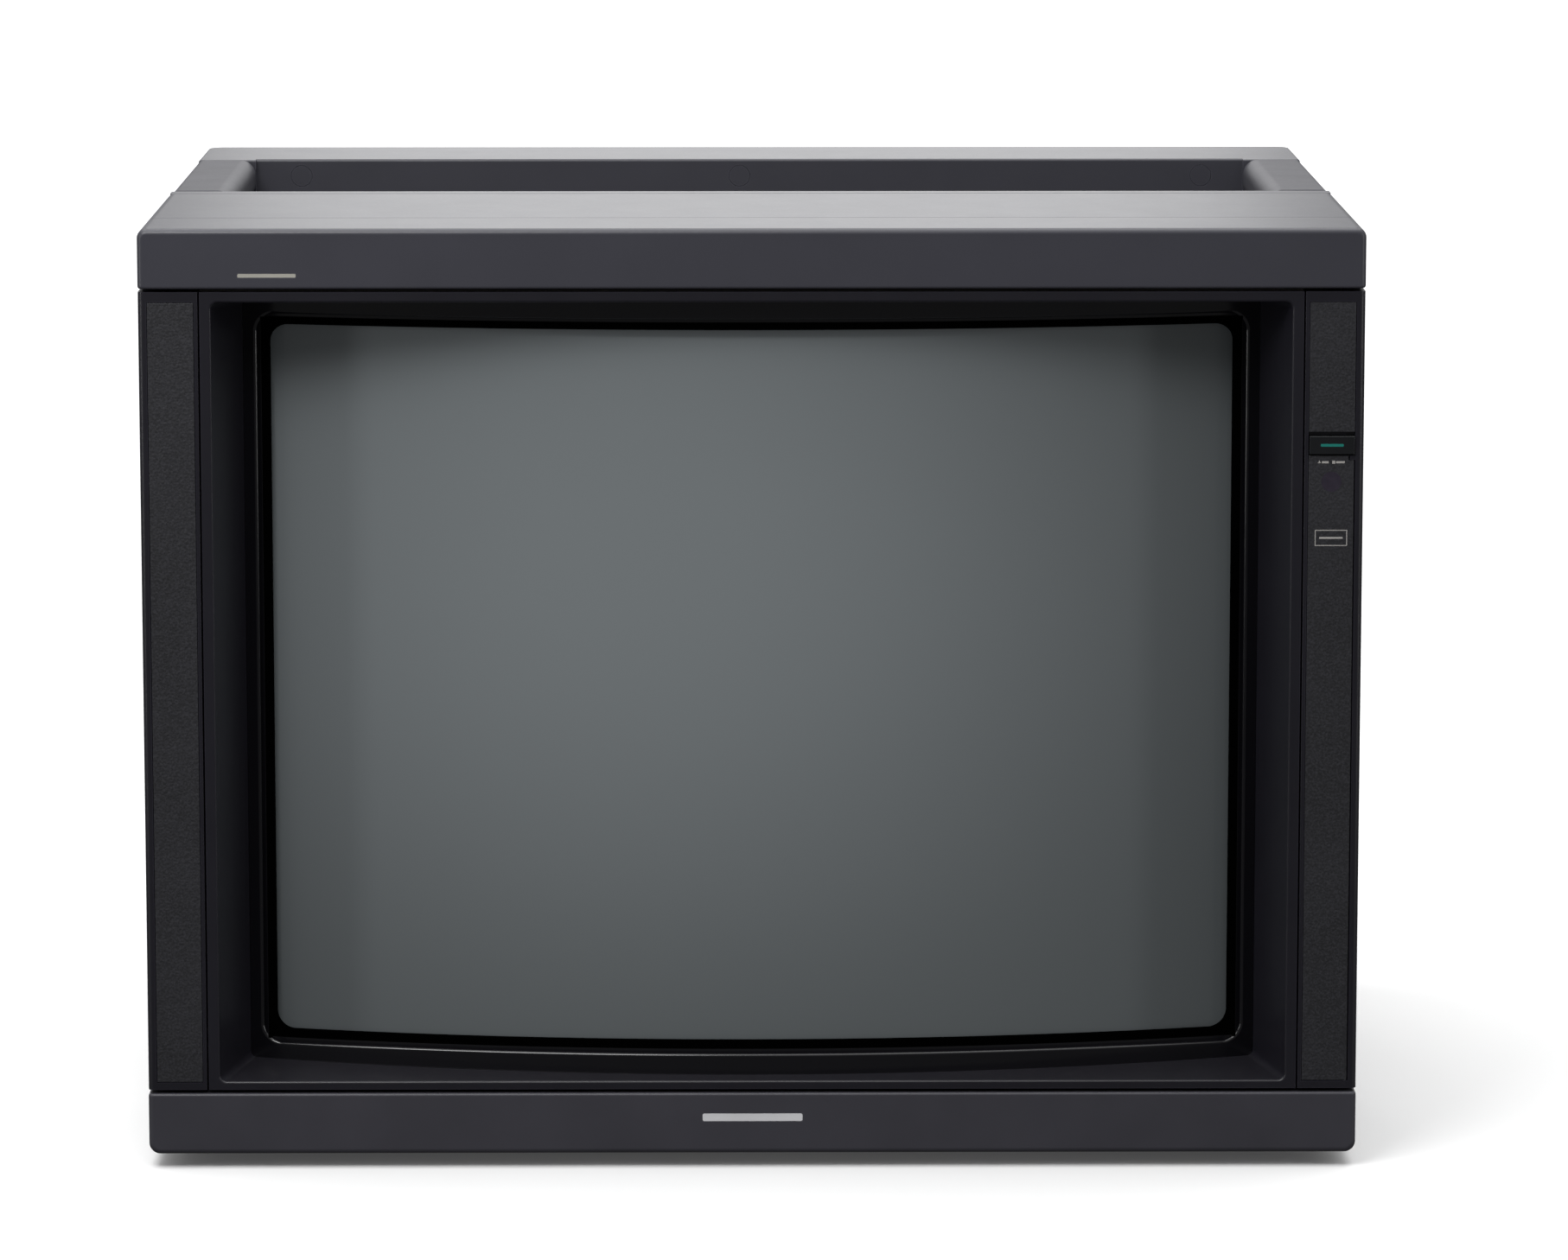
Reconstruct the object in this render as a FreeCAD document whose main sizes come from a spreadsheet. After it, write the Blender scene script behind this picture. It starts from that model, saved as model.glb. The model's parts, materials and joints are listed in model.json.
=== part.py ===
import FreeCAD, Part
import math
import os
import re

# Television monitor with a cylinder-faced picture tube. Millimetres, +Z up.
# The origin is the middle of the footprint on the table; the screen faces -Y.

SIZES = {
    # whole cabinet
    "overall_width": 650,
    "overall_depth": 506,
    "overall_height": 508,
    "foot_height": 8,
    "shell_wall": 3,
    "hairline": 0.4,
    "slip_fit": 0.2,
    "running_fit": 0.05,
    # top hood and handle frame
    "hood_height": 32,
    "hood_depth": 203,
    "hood_seam_depth": 61,
    "hood_seam_width": 0.8,
    "seam_edge": 1,
    "hood_gap": 1.7,
    "seal_setback": 4,
    "hood_corner": 5,
    "bright_edge": 1.5,
    "soft_edge": 0.4,
    "frame_inset": 2,
    "lip_depth": 18.4,
    "lip_round": 6,
    "rail_width": 33.5,
    "rail_thick": 22,
    "rail_round": 8.5,
    "crossbar_depth": 90,
    "crossbar_step": 6,
    "crossbar_corner": 9,
    "plug_radius": 6,
    "plug_drop": 9.8,
    "plug_clearance": 0.3,
    "plug_left_inset": 26.5,
    "plug_middle_offset": 6,
    "plug_right_inset": 24.5,
    # shallow recesses for two plain trim plates
    "plate_recess": 0.6,
    "bar_plate_width": 54,
    "bar_plate_height": 4.4,
    "hood_plate_offset": 256.5,
    "hood_plate_width": 31,
    "hood_plate_height": 2.2,
    "hood_plate_rise": 7.2,
    "post_width": 24,
    "post_depth": 24,
    # lower bar and base
    "lower_bar_height": 33.3,
    "lower_bar_depth": 60,
    "lower_gap": 1.9,
    "lower_corner": 6,
    "foot_radius": 18,
    "foot_inset_side": 55,
    "foot_inset_end": 82,
    # front bezel and trims
    "face_recess": 1.5,
    "notch_depth": 1.2,
    "bezel_half_width": 292.4,
    "bezel_side_land": 5.4,
    "bezel_top_land": 5.5,
    "bezel_bottom_land": 4.4,
    "bezel_edge": 1.3,
    "bezel_corner": 3.5,
    "bezel_inner_edge": 0.6,
    "bezel_reach": 4.05,
    "bezel_side_slope": 0.273,
    "bezel_top_slope": 0.06,
    "boss_side": 14,
    "boss_length": 10,
    "boss_inset": 1,
    "ear_thick": 2.5,
    "tube_screw_hole": 2.2,
    "trim_gap": 0.9,
    "trim_thick": 18,
    "trim_rim_inner": 2,
    "trim_rim_outer": 4.6,
    "trim_rim_end": 4,
    "insert_thick": 2.6,
    "upper_insert_height": 69.4,
    "button_gap": 2,
    "button_height": 9.7,
    "button_proud": 1.3,
    "button_depth": 9,
    "button_travel": 3.5,
    "door_gap": 0.8,
    "door_pin_radius": 0.8,
    "door_lug_height": 2.4,
    "lug_clearance": 0.75,
    "door_frame_end": 9,
    "window_radius": 5.35,
    "window_drop": 14.1,
    # control compartment
    "panel_back": 20,
    "panel_thick": 3,
    "knob_radius": 6,
    "knob_length": 10,
    "knob_shaft_radius": 3,
    "knob_pitch": 42,
    "knob_first_drop": 30,
    "knob_gap": 0.3,
    "control_offset": 1,
    "input_button_length": 8,
    "well_rim_inner": 2,
    "well_rim_outer": 3,
    "switch_width": 18,
    "switch_height": 14,
    "switch_depth": 21.6,
    "spring_radius": 3.2,
    "spring_wire": 0.35,
    "spring_turns": 4,
    "input_button_width": 9,
    "input_button_height": 7,
    "input_button_travel": 2.5,
    # picture tube
    "face_radius": 1000,
    "face_setback": 25,
    "glass_half_width": 275.5,
    "glass_half_height": 210.5,
    "glass_corner": 28,
    "glass_wall": 12,
    "skirt_end": 110,
    "mask_front": 10.5,
    "mask_step": 6,
    "crest_half_width": 265.3,
    "crest_half_height": 199.2,
    "crest_edge": 1.6,
    "picture_half_width": 258.6,
    "picture_half_height": 193.2,
    "picture_corner": 10,
    "band_thick": 2,
    "band_width": 18,
    "funnel_wall": 4,
    "neck_radius": 14.6,
    "neck_start": 362,
    "neck_end": 440,
    "yoke_front": 306,
    "yoke_back": 352,
    "coil_radius": 5,
    "coil_setback": 138,
    "coil_corner": 50,
    "yoke_front_radius": 100,
    "yoke_back_radius": 42,
    "yoke_thick_front": 10,
    "yoke_thick_back": 12,
    "core_setback": 12,
    "core_length": 27,
    "neck_wall": 1.6,
    "cap_radius": 28,
    "cap_height": 10,
    "ring_radius": 27,
    "ring_gap": 4,
    "sleeve_length": 30,
    "tab_width": 6,
    "tab_reach": 8,
    "ring_thick": 2.6,
    "sleeve_wall": 2,
    # back cover and terminals
    "collar_depth": 15,
    "cover_back_setback": 16,
    "cover_back_half_width": 190,
    "cover_back_drop": 72,
    "vent_count": 25,
    "vent_top_gap": 25,
    "vent_length": 95,
    "top_vent_start": 30,
    "top_vent_length": 80,
    "cover_screw_radius": 4.5,
    "cover_screw_height": 2.4,
    "cover_screw_inset": 14,
    "vent_width": 3,
    "vent_pitch": 9,
    "terminal_width": 300,
    "terminal_height": 80,
    "terminal_recess": 4,
    "panel_sheet": 2.5,
    "inlet_x": 118,
    "inlet_level": 22,
    "inlet_width": 28,
    "inlet_height": 20,
    "inlet_depth": 16,
    "inlet_wall": 1.8,
    "pin_side": 2,
    "connector_left": 10,
    "connector_width": 62,
    "connector_level": 56,
    "connector_height": 16,
    "connector_depth": 7,
    "connector_wall": 3,
    "clip_left": 20,
    "clip_pitch": 16,
    "clip_width": 13,
    "clip_bottom": 10,
    "clip_height": 26,
    "clip_depth": 8,
    "clip_hole_radius": 2,
    "line_switch_left": 94,
    "line_switch_slot": 12,
    "line_switch_stem": 6,
    "line_switch_level": 54.5,
    "line_switch_height": 5,
    "jack_flange": 2,
    "jack_flange_thick": 1.2,
    "jack_radius": 4.15,
    "jack_bore_radius": 1.7,
    "jack_length": 9,
    # electronics
    "board_thick": 1.6,
    "board_width": 343,
    "board_depth": 255,
    "board_height": 56,
    "lead_radius": 3,
}

# Places worked out from the sizes. Words stand for the sheet's cells or for other places.
PLACES = {
    "half_width": "overall_width/2",
    "front": "-overall_depth/2",
    "back": "overall_depth/2",
    "bar_top": "foot_height+lower_bar_height",
    "mid_bottom": "bar_top+lower_gap",
    "hood_bottom": "overall_height-hood_height",
    "mid_top": "hood_bottom-hood_gap",
    "middle": "(mid_bottom+mid_top)/2",
    "face": "front+face_recess",
    "hood_back": "front+hood_depth",
    "lip_front": "hood_back+hairline",
    "well_front": "lip_front+lip_depth",
    "rail_outer": "half_width-frame_inset",
    "rail_inner": "rail_outer-rail_width",
    "rail_back": "back-crossbar_depth",
    "well_back": "rail_back+crossbar_step",
    "frame_bottom": "overall_height-rail_thick-2",
    "trim_inner": "bezel_half_width+trim_gap",
    "pocket_inner": "trim_inner+trim_rim_inner",
    "pocket_outer": "half_width-trim_rim_outer",
    "pocket_floor": "face+insert_thick+2*slip_fit",
    "pocket_bottom": "mid_bottom+trim_rim_end",
    "pocket_top": "mid_top-trim_rim_end-bright_edge",
    "trim_back": "face+trim_thick",
    "insert_inner": "pocket_inner+slip_fit",
    "insert_outer": "pocket_outer-slip_fit",
    "insert_bottom": "pocket_bottom+slip_fit",
    "insert_top": "pocket_top-slip_fit",
    "upper_insert_bottom": "insert_top-upper_insert_height",
    "button_top": "upper_insert_bottom-button_gap",
    "button_bottom": "button_top-button_height",
    "door_top": "button_bottom-door_gap",
    "pin_x": "insert_outer-insert_thick/2",
    "pin_y": "face+slip_fit+insert_thick/2",
    "well_bottom": "pocket_bottom+door_frame_end",
    "well_top": "door_top-door_frame_end",
    "window_z": "door_top-window_drop",
    "column_x": "(insert_inner+insert_outer)/2",
    "edge_sag": "glass_half_width*glass_half_width/(2*face_radius)",
    "bezel_depth": "face_setback+edge_sag-mask_front+bezel_reach",
    "ear_setback": "bezel_depth+boss_length",
    "control_x": "column_x-control_offset",
    "glass_y": "front+face_setback",
    "curve_y": "glass_y+face_radius",
    "cover_front": "hood_back+hairline",
    "cover_back": "back-cover_back_setback",
    "cover_half_width": "half_width-shell_wall-1.5",
    "side_inner": "half_width-shell_wall-1",
    "cover_top": "mid_top-1",
    "cover_back_top": "cover_top-cover_back_drop",
    "cover_bottom": "mid_bottom",
    "terminal_bottom": "cover_bottom+14",
    "terminal_top": "terminal_bottom+terminal_height",
    "terminal_face": "cover_back-terminal_recess",
    "board_back": "cover_back-shell_wall-8",
    "board_front": "board_back-board_depth",
    "board_top": "board_height+board_thick",
}

doc = FreeCAD.newDocument("television_monitor")
sheet = doc.addObject("Spreadsheet::Sheet", "Sizes")
for row, (alias, size) in enumerate(SIZES.items(), start=1):
    sheet.set("A%d" % row, alias.replace("_", " "))
    sheet.set("B%d" % row, str(size))
    sheet.setAlias("B%d" % row, alias)
doc.recompute()

NODES = {}
AXIS_TURN = {
    "z": FreeCAD.Rotation(),
    "y": FreeCAD.Rotation(FreeCAD.Vector(1, 0, 0), -90),
    "x": FreeCAD.Rotation(FreeCAD.Vector(0, 1, 0), 90),
}


def bind(formula):
    """Turn a formula in plain words into an expression on the sheet's cells."""
    def swap(match):
        word = match.group(0)
        if word in SIZES:
            return "Sizes." + word
        if word in PLACES:
            return "(" + bind(PLACES[word]) + ")"
        return word
    return re.sub(r"[a-z][a-z_]*", swap, str(formula))


def number(formula):
    """The formula's value in millimetres."""
    return float(sheet.evalExpression(bind(formula)))


def node(name, feature):
    """Name a finished piece; the name is also its file."""
    feature.Label = name
    NODES[name] = feature
    return feature


def place(feature, x, y, z):
    """Bind a feature's position to three formulas."""
    for letter, formula in zip("xyz", (x, y, z)):
        feature.setExpression("Placement.Base." + letter, bind(formula))


def block(name, x, y, z):
    """A box between two places on each axis."""
    box = doc.addObject("Part::Box", name)
    for side, (low, high) in zip(("Length", "Width", "Height"), (x, y, z)):
        box.setExpression(side, bind("(%s)-(%s)" % (high, low)))
    place(box, x[0], y[0], z[0])
    return box


def rod(name, axis, radius, low_end, length):
    """A cylinder along an axis, from the centre of its low end."""
    cylinder = doc.addObject("Part::Cylinder", name)
    cylinder.Placement = FreeCAD.Placement(FreeCAD.Vector(), AXIS_TURN[axis])
    cylinder.setExpression("Radius", bind(radius))
    cylinder.setExpression("Height", bind(length))
    place(cylinder, *low_end)
    return cylinder


def cone(name, axis, radius_low, radius_high, low_end, length):
    """A cone along an axis, from the centre of its low end."""
    feature = doc.addObject("Part::Cone", name)
    feature.Placement = FreeCAD.Placement(FreeCAD.Vector(), AXIS_TURN[axis])
    feature.setExpression("Radius1", bind(radius_low))
    feature.setExpression("Radius2", bind(radius_high))
    feature.setExpression("Height", bind(length))
    place(feature, *low_end)
    return feature


def taper(name, y, front_x, front_z, back_x, back_z):
    """A box whose front and back rectangles differ, like a lampshade's shape."""
    wedge = doc.addObject("Part::Wedge", name)
    limits = {
        "Ymin": y[0], "Ymax": y[1],
        "Xmin": front_x[0], "Xmax": front_x[1], "Zmin": front_z[0], "Zmax": front_z[1],
        "X2min": back_x[0], "X2max": back_x[1], "Z2min": back_z[0], "Z2max": back_z[1],
    }
    for side, formula in limits.items():
        wedge.setExpression(side, bind(formula))
    return wedge


def join(name, *pieces):
    """One solid from several that touch."""
    feature = doc.addObject("Part::MultiFuse", name)
    feature.Shapes = list(pieces)
    feature.Refine = True
    return feature


def carve(name, base, *tools):
    """The base with every tool taken out of it."""
    feature = doc.addObject("Part::Cut", name)
    feature.Base = base
    feature.Tool = tools[0] if len(tools) == 1 else group(name + "_tools", *tools)
    feature.Refine = True
    return feature


def group(name, *pieces):
    """Separate solids kept together, such as a set of screws."""
    feature = doc.addObject("Part::Compound", name)
    feature.Links = list(pieces)
    return feature


def common(name, *pieces):
    """What all the pieces share."""
    feature = doc.addObject("Part::MultiCommon", name)
    feature.Shapes = list(pieces)
    return feature


def mirrored(name, source):
    """The same piece on the other side of the cabinet."""
    feature = doc.addObject("Part::Mirroring", name)
    feature.Source = source
    feature.Base = FreeCAD.Vector(0, 0, 0)
    feature.Normal = FreeCAD.Vector(1, 0, 0)
    return feature


def edges_on(shape, **planes):
    """Names of the edges that lie wholly on the given planes, such as x and z."""
    found = []
    for index, edge in enumerate(shape.Edges, start=1):
        points = edge.discretize(3)
        if all(abs(getattr(point, letter) - number(formula)) < 1e-3
               for point in points for letter, formula in planes.items()):
            found.append(index)
    return found


def rounded(name, base, radius, *picks):
    """Round the edges that each pick's planes hold."""
    doc.recompute()
    chosen = []
    for pick in picks:
        chosen += edges_on(base.Shape, **pick)
    if not chosen:
        raise ValueError(name + " has no edge to round")
    feature = doc.addObject("Part::Fillet", name)
    feature.Base = base
    size = number(radius)
    feature.Edges = [(index, size, size) for index in sorted(set(chosen))]
    return feature


def filleted(name, base, radius, test):
    """Round every edge whose points pass the test."""
    doc.recompute()
    size = number(radius)
    chosen = [index for index, edge in enumerate(base.Shape.Edges, start=1)
              if test(edge.discretize(5))]
    if not chosen:
        raise ValueError(name + " has no edge to round")
    feature = doc.addObject("Part::Fillet", name)
    feature.Base = base
    feature.Edges = [(index, size, size) for index in chosen]
    return feature


def on_curve(point, extra):
    """Whether a point lies on an upright cylinder concentric with the screen's curve."""
    distance = math.hypot(point.x, point.y - number("curve_y"))
    return abs(distance - number("face_radius+" + extra)) < 0.01


def sketch_on(body, role, name, offset):
    """A sketch on one of the body's own origin planes, moved along its normal."""
    sketch = body.newObject("Sketcher::SketchObject", name)
    plane = next(item for item in body.Origin.OriginFeatures if item.Role == role)
    sketch.AttachmentSupport = [(plane, "")]
    sketch.MapMode = "FlatFace"
    sketch.setExpression("AttachmentOffset.Base.z", bind(offset))
    return sketch


def outline(sketch, corners):
    """A closed outline whose every corner is tied to two formulas."""
    points = [FreeCAD.Vector(number(across), number(up), 0) for across, up in corners]
    count = len(points)
    for index, point in enumerate(points):
        sketch.addGeometry(Part.LineSegment(point, points[(index + 1) % count]), False)
    for index, (across, up) in enumerate(corners):
        import_constraint(sketch, "Coincident", index, 2, (index + 1) % count, 1)
        bind_constraint(sketch, "DistanceX", index, across)
        bind_constraint(sketch, "DistanceY", index, up)


def import_constraint(sketch, kind, first, first_end, second, second_end):
    """Join two lines at their ends."""
    from Sketcher import Constraint
    sketch.addConstraint(Constraint(kind, first, first_end, second, second_end))


def bind_constraint(sketch, kind, line, formula):
    """Tie the start of a line to a distance from the sketch's origin."""
    from Sketcher import Constraint
    index = sketch.addConstraint(Constraint(kind, -1, 1, line, 1, number(formula)))
    sketch.setExpression("Constraints[%d]" % index, bind(formula))


def extruded(name, role, span, corners):
    """A body padded from an outline, between two places along the plane's axis."""
    body = doc.addObject("PartDesign::Body", name)
    offset = "-(%s)" % span[1] if role == "XZ_Plane" else span[0]
    sketch = sketch_on(body, role, name + "_outline", offset)
    outline(sketch, corners)
    pad = body.newObject("PartDesign::Pad", name + "_pad")
    pad.Profile = sketch
    pad.setExpression("Length", bind("(%s)-(%s)" % (span[1], span[0])))
    doc.recompute()
    return body


def pocketed(body, name, role, span, corners):
    """Cut an outline out of a body between two places along the plane's axis."""
    before = body.Shape.Volume
    offset = "-(%s)" % span[0] if role == "XZ_Plane" else span[1]
    sketch = sketch_on(body, role, name + "_outline", offset)
    outline(sketch, corners)
    pocket = body.newObject("PartDesign::Pocket", name)
    pocket.Profile = sketch
    pocket.setExpression("Length", bind("(%s)-(%s)" % (span[1], span[0])))
    doc.recompute()
    if body.Shape.Volume >= before:
        raise ValueError(name + " cuts nothing")
    return body


def softened(body, name, radius, *picks):
    """Fillet the body's edges that each pick's planes hold."""
    doc.recompute()
    chosen = []
    for pick in picks:
        chosen += edges_on(body.Tip.Shape, **pick)
    if not chosen:
        raise ValueError(name + " has no edge to round")
    base = body.Tip
    fillet = body.newObject("PartDesign::Fillet", name)
    fillet.Base = (base, ["Edge%d" % index for index in sorted(set(chosen))])
    fillet.setExpression("Radius", bind(radius))
    doc.recompute()
    return body


def turned(name, axis, low_end, profile):
    """A body turned from a profile of (radius, height) corners, like work in a lathe."""
    body = doc.addObject("PartDesign::Body", name)
    sketch = sketch_on(body, "XZ_Plane", name + "_profile", "0")
    outline(sketch, profile)
    turn = body.newObject("PartDesign::Revolution", name + "_turn")
    turn.Profile = sketch
    turn.ReferenceAxis = (sketch, ["V_Axis"])
    turn.Angle = 360
    doc.recompute()
    body.Placement = FreeCAD.Placement(FreeCAD.Vector(), AXIS_TURN[axis])
    place(body, *low_end)
    return body


def rounded_frame(x_half, z_half, corner, y):
    """A rounded rectangle facing along Y, centred on the screen, as a wire."""
    left, right = -x_half, x_half
    low, high = number("middle") - z_half, number("middle") + z_half
    bend = corner * (1 - math.sqrt(0.5))
    def point(x, z):
        return FreeCAD.Vector(x, y, z)
    def arc(start, middle, end):
        return Part.Arc(point(*start), point(*middle), point(*end)).toShape()
    def line(start, end):
        return Part.LineSegment(point(*start), point(*end)).toShape()
    return Part.Wire([
        line((left + corner, low), (right - corner, low)),
        arc((right - corner, low), (right - bend, low + bend), (right, low + corner)),
        line((right, low + corner), (right, high - corner)),
        arc((right, high - corner), (right - bend, high - bend), (right - corner, high)),
        line((right - corner, high), (left + corner, high)),
        arc((left + corner, high), (left + bend, high - bend), (left, high - corner)),
        line((left, high - corner), (left, low + corner)),
        arc((left, low + corner), (left + bend, low + bend), (left + corner, low)),
    ])


def bent_path(points, share=0.45):
    """Straight runs joined by tangent arcs, each as large as its two runs allow."""
    edges = []
    start = points[0]
    for before, corner, after in zip(points, points[1:], points[2:]):
        first = (before - corner).normalize()
        second = (after - corner).normalize()
        half_turn = (math.pi - first.getAngle(second)) / 2
        run = min((before - corner).Length, (after - corner).Length)
        cut = share * run
        radius = cut / math.tan(half_turn)
        entry = corner + first * cut
        leave = corner + second * cut
        bisector = (first + second).normalize()
        centre = corner + bisector * math.hypot(cut, radius)
        edges.append(Part.LineSegment(start, entry).toShape())
        edges.append(Part.Arc(entry, centre - bisector * radius, leave).toShape())
        print("  bend radius %.1f mm" % radius)
        start = leave
    edges.append(Part.LineSegment(start, points[-1]).toShape())
    return Part.Wire(edges)


def tube_along(path, radius):
    """A round tube swept along a path."""
    first = path.OrderedEdges[0] if hasattr(path, "OrderedEdges") else path.Edges[0]
    start = first.valueAt(first.FirstParameter)
    heading = first.tangentAt(first.FirstParameter)
    ring = Part.Wire(Part.makeCircle(radius, start, heading))
    return path.makePipeShell([ring], True, False)


def shape_feature(name, shape):
    """A piece whose shape is worked out in code."""
    feature = doc.addObject("Part::Feature", name)
    feature.Shape = shape
    return feature


def both_sides(formula):
    """A span that is as far left as right."""
    return ("-(%s)" % formula, formula)


def plate_corners(middle_x, middle_z, width, height):
    """The four corners of an upright rectangle, counted round from the lower left."""
    left = "%s-%s/2" % (middle_x, width)
    right = "%s+%s/2" % (middle_x, width)
    low = "%s-%s/2" % (middle_z, height)
    high = "%s+%s/2" % (middle_z, height)
    return [(left, low), (right, low), (right, high), (left, high)]


def curve_rod(name, extra):
    """An upright cylinder concentric with the screen's curve, this much larger."""
    return rod(name, "z", "face_radius+(%s)" % extra, ("0", "curve_y", "-50"), "overall_height+100")


# ---------------------------------------------------------------- hood and handle frame

# Front hood: a hollow beam over the screen, open at the back. A fine seam crosses its top.
hood = extruded(
    "hood_body", "XZ_Plane", ("front", "hood_back"),
    [("-(half_width)", "hood_bottom"), ("half_width", "hood_bottom"),
     ("half_width", "overall_height"), ("-(half_width)", "overall_height")])
pocketed(
    hood, "hood_hollow", "XZ_Plane", ("front+shell_wall", "hood_back"),
    [("-(half_width)+shell_wall", "hood_bottom+shell_wall"),
     ("half_width-shell_wall", "hood_bottom+shell_wall"),
     ("half_width-shell_wall", "overall_height-shell_wall"),
     ("-(half_width)+shell_wall", "overall_height-shell_wall")])
softened(hood, "hood_top_corners", "hood_corner",
         {"x": "half_width", "z": "overall_height"}, {"x": "-(half_width)", "z": "overall_height"})
softened(hood, "hood_upright_corners", "bright_edge*2",
         {"x": "half_width", "y": "front"}, {"x": "-(half_width)", "y": "front"})
softened(hood, "hood_front_edge", "bright_edge",
         {"y": "front", "z": "overall_height"}, {"y": "front", "z": "hood_bottom"})
softened(hood, "hood_back_edge", "seam_edge", {"y": "hood_back", "z": "overall_height"})
pocketed(
    hood, "hood_seam", "XY_Plane", ("overall_height-hairline", "overall_height"),
    [("-(half_width)", "front+hood_seam_depth"), ("half_width", "front+hood_seam_depth"),
     ("half_width", "front+hood_seam_depth+hood_seam_width"),
     ("-(half_width)", "front+hood_seam_depth+hood_seam_width")])
pocketed(
    hood, "hood_plate_recess", "XZ_Plane", ("front", "front+plate_recess"),
    plate_corners("-(hood_plate_offset)", "hood_bottom+hood_plate_rise",
                  "hood_plate_width", "hood_plate_height"))
node("front_hood", hood)

# Seal strip: a soft dust seal in the gap between hood and bezel.
node("hood_seal_strip", block(
    "seal", both_sides("bezel_half_width"), ("face+seal_setback", "face+seal_setback+8"),
    ("mid_top", "mid_top+hood_gap*0.6")))

# Front lip of the handle well, with a rolled back edge for the fingers.
lip = extruded(
    "lip_body", "XZ_Plane", ("lip_front", "well_front"),
    [("-(rail_outer)", "hood_bottom"), ("rail_outer", "hood_bottom"),
     ("rail_outer", "overall_height"), ("-(rail_outer)", "overall_height")])
pocketed(
    lip, "lip_hollow", "XZ_Plane", ("lip_front", "well_front-lip_round-shell_wall"),
    [("-(rail_outer)+shell_wall", "hood_bottom+shell_wall"),
     ("rail_outer-shell_wall", "hood_bottom+shell_wall"),
     ("rail_outer-shell_wall", "overall_height-shell_wall"),
     ("-(rail_outer)+shell_wall", "overall_height-shell_wall")])
softened(lip, "lip_roll", "lip_round", {"y": "well_front", "z": "overall_height"})
softened(lip, "lip_front_edge", "seam_edge", {"y": "lip_front", "z": "overall_height"})
softened(lip, "lip_lower_roll", "bright_edge", {"y": "well_front", "z": "hood_bottom"})
node("well_front_lip", lip)

# Handle rails: a flat top, a plain outer side and a half-round inner side.
rail = extruded(
    "rail_body", "XZ_Plane", ("well_front+hairline", "rail_back-hairline"),
    [("rail_inner", "overall_height-rail_thick"), ("rail_outer", "overall_height-rail_thick"),
     ("rail_outer", "overall_height"), ("rail_inner", "overall_height")])
softened(rail, "rail_grip", "rail_round",
         {"x": "rail_inner", "z": "overall_height"},
         {"x": "rail_inner", "z": "overall_height-rail_thick"})
softened(rail, "rail_outer_edges", "bright_edge*2",
         {"x": "rail_outer", "z": "overall_height"},
         {"x": "rail_outer", "z": "overall_height-rail_thick"})
softened(rail, "rail_front_end", "seam_edge",
         {"y": "well_front+hairline", "z": "overall_height"})
softened(rail, "rail_back_end", "seam_edge",
         {"y": "rail_back-hairline", "z": "overall_height"})
node("handle_rail_right", rail)
node("handle_rail_left", mirrored("rail_mirror", rail))

# Crossbar: joins the rails behind the well. It is hollow from below between the posts.
crossbar = extruded(
    "crossbar_body", "XY_Plane", ("frame_bottom", "overall_height"),
    [("-(rail_outer)", "rail_back"), ("-(rail_inner)", "rail_back"),
     ("-(rail_inner)", "well_back"), ("rail_inner", "well_back"),
     ("rail_inner", "rail_back"), ("rail_outer", "rail_back"),
     ("rail_outer", "back"), ("-(rail_outer)", "back")])
pocketed(
    crossbar, "crossbar_hollow", "XY_Plane", ("frame_bottom", "overall_height-shell_wall"),
    [("-(rail_inner)+shell_wall*3", "well_back+shell_wall"),
     ("rail_inner-shell_wall*3", "well_back+shell_wall"),
     ("rail_inner-shell_wall*3", "back-shell_wall*2"),
     ("-(rail_inner)+shell_wall*3", "back-shell_wall*2")])
softened(crossbar, "crossbar_back_corners", "crossbar_corner",
         {"x": "rail_outer", "y": "back"}, {"x": "-(rail_outer)", "y": "back"})
softened(crossbar, "crossbar_top_edges", "bright_edge",
         {"y": "well_back", "z": "overall_height"}, {"y": "back", "z": "overall_height"})
softened(crossbar, "crossbar_rail_ends", "seam_edge",
         {"y": "rail_back", "z": "overall_height"})

# Three round plugs cover the crossbar's screws, flush with its inner wall.
PLUG_PLACES = ("-(rail_inner)+plug_left_inset", "-(plug_middle_offset)", "rail_inner-plug_right_inset")
plug_holes = [rod("plug_hole", "y", "plug_radius+plug_clearance",
                  (x, "well_back-1", "overall_height-plug_drop"), "shell_wall+2")
              for x in PLUG_PLACES]
plugs = [rod("plug", "y", "plug_radius",
             (x, "well_back", "overall_height-plug_drop"), "shell_wall")
         for x in PLUG_PLACES]
node("handle_crossbar", carve("crossbar_drilled", crossbar, *plug_holes))
node("crossbar_plugs", group("plug_set", *plugs))

# Rear posts: carry the crossbar's ends down to the base.
post = extruded(
    "post_body", "XY_Plane", ("foot_height+shell_wall", "frame_bottom"),
    [("half_width-shell_wall-slip_fit-post_width", "back-shell_wall-slip_fit-post_depth"),
     ("half_width-shell_wall-slip_fit", "back-shell_wall-slip_fit-post_depth"),
     ("half_width-shell_wall-slip_fit", "back-shell_wall-slip_fit"),
     ("half_width-shell_wall-slip_fit-post_width", "back-shell_wall-slip_fit")])
softened(post, "post_edges", "bright_edge*2",
         {"x": "half_width-shell_wall-slip_fit-post_width",
          "y": "back-shell_wall-slip_fit-post_depth"},
         {"x": "half_width-shell_wall-slip_fit", "y": "back-shell_wall-slip_fit-post_depth"},
         {"x": "half_width-shell_wall-slip_fit", "y": "back-shell_wall-slip_fit"},
         {"x": "half_width-shell_wall-slip_fit-post_width", "y": "back-shell_wall-slip_fit"})
node("rear_post_right", post)
node("rear_post_left", mirrored("post_mirror", post))

# ---------------------------------------------------------------- base

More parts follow.
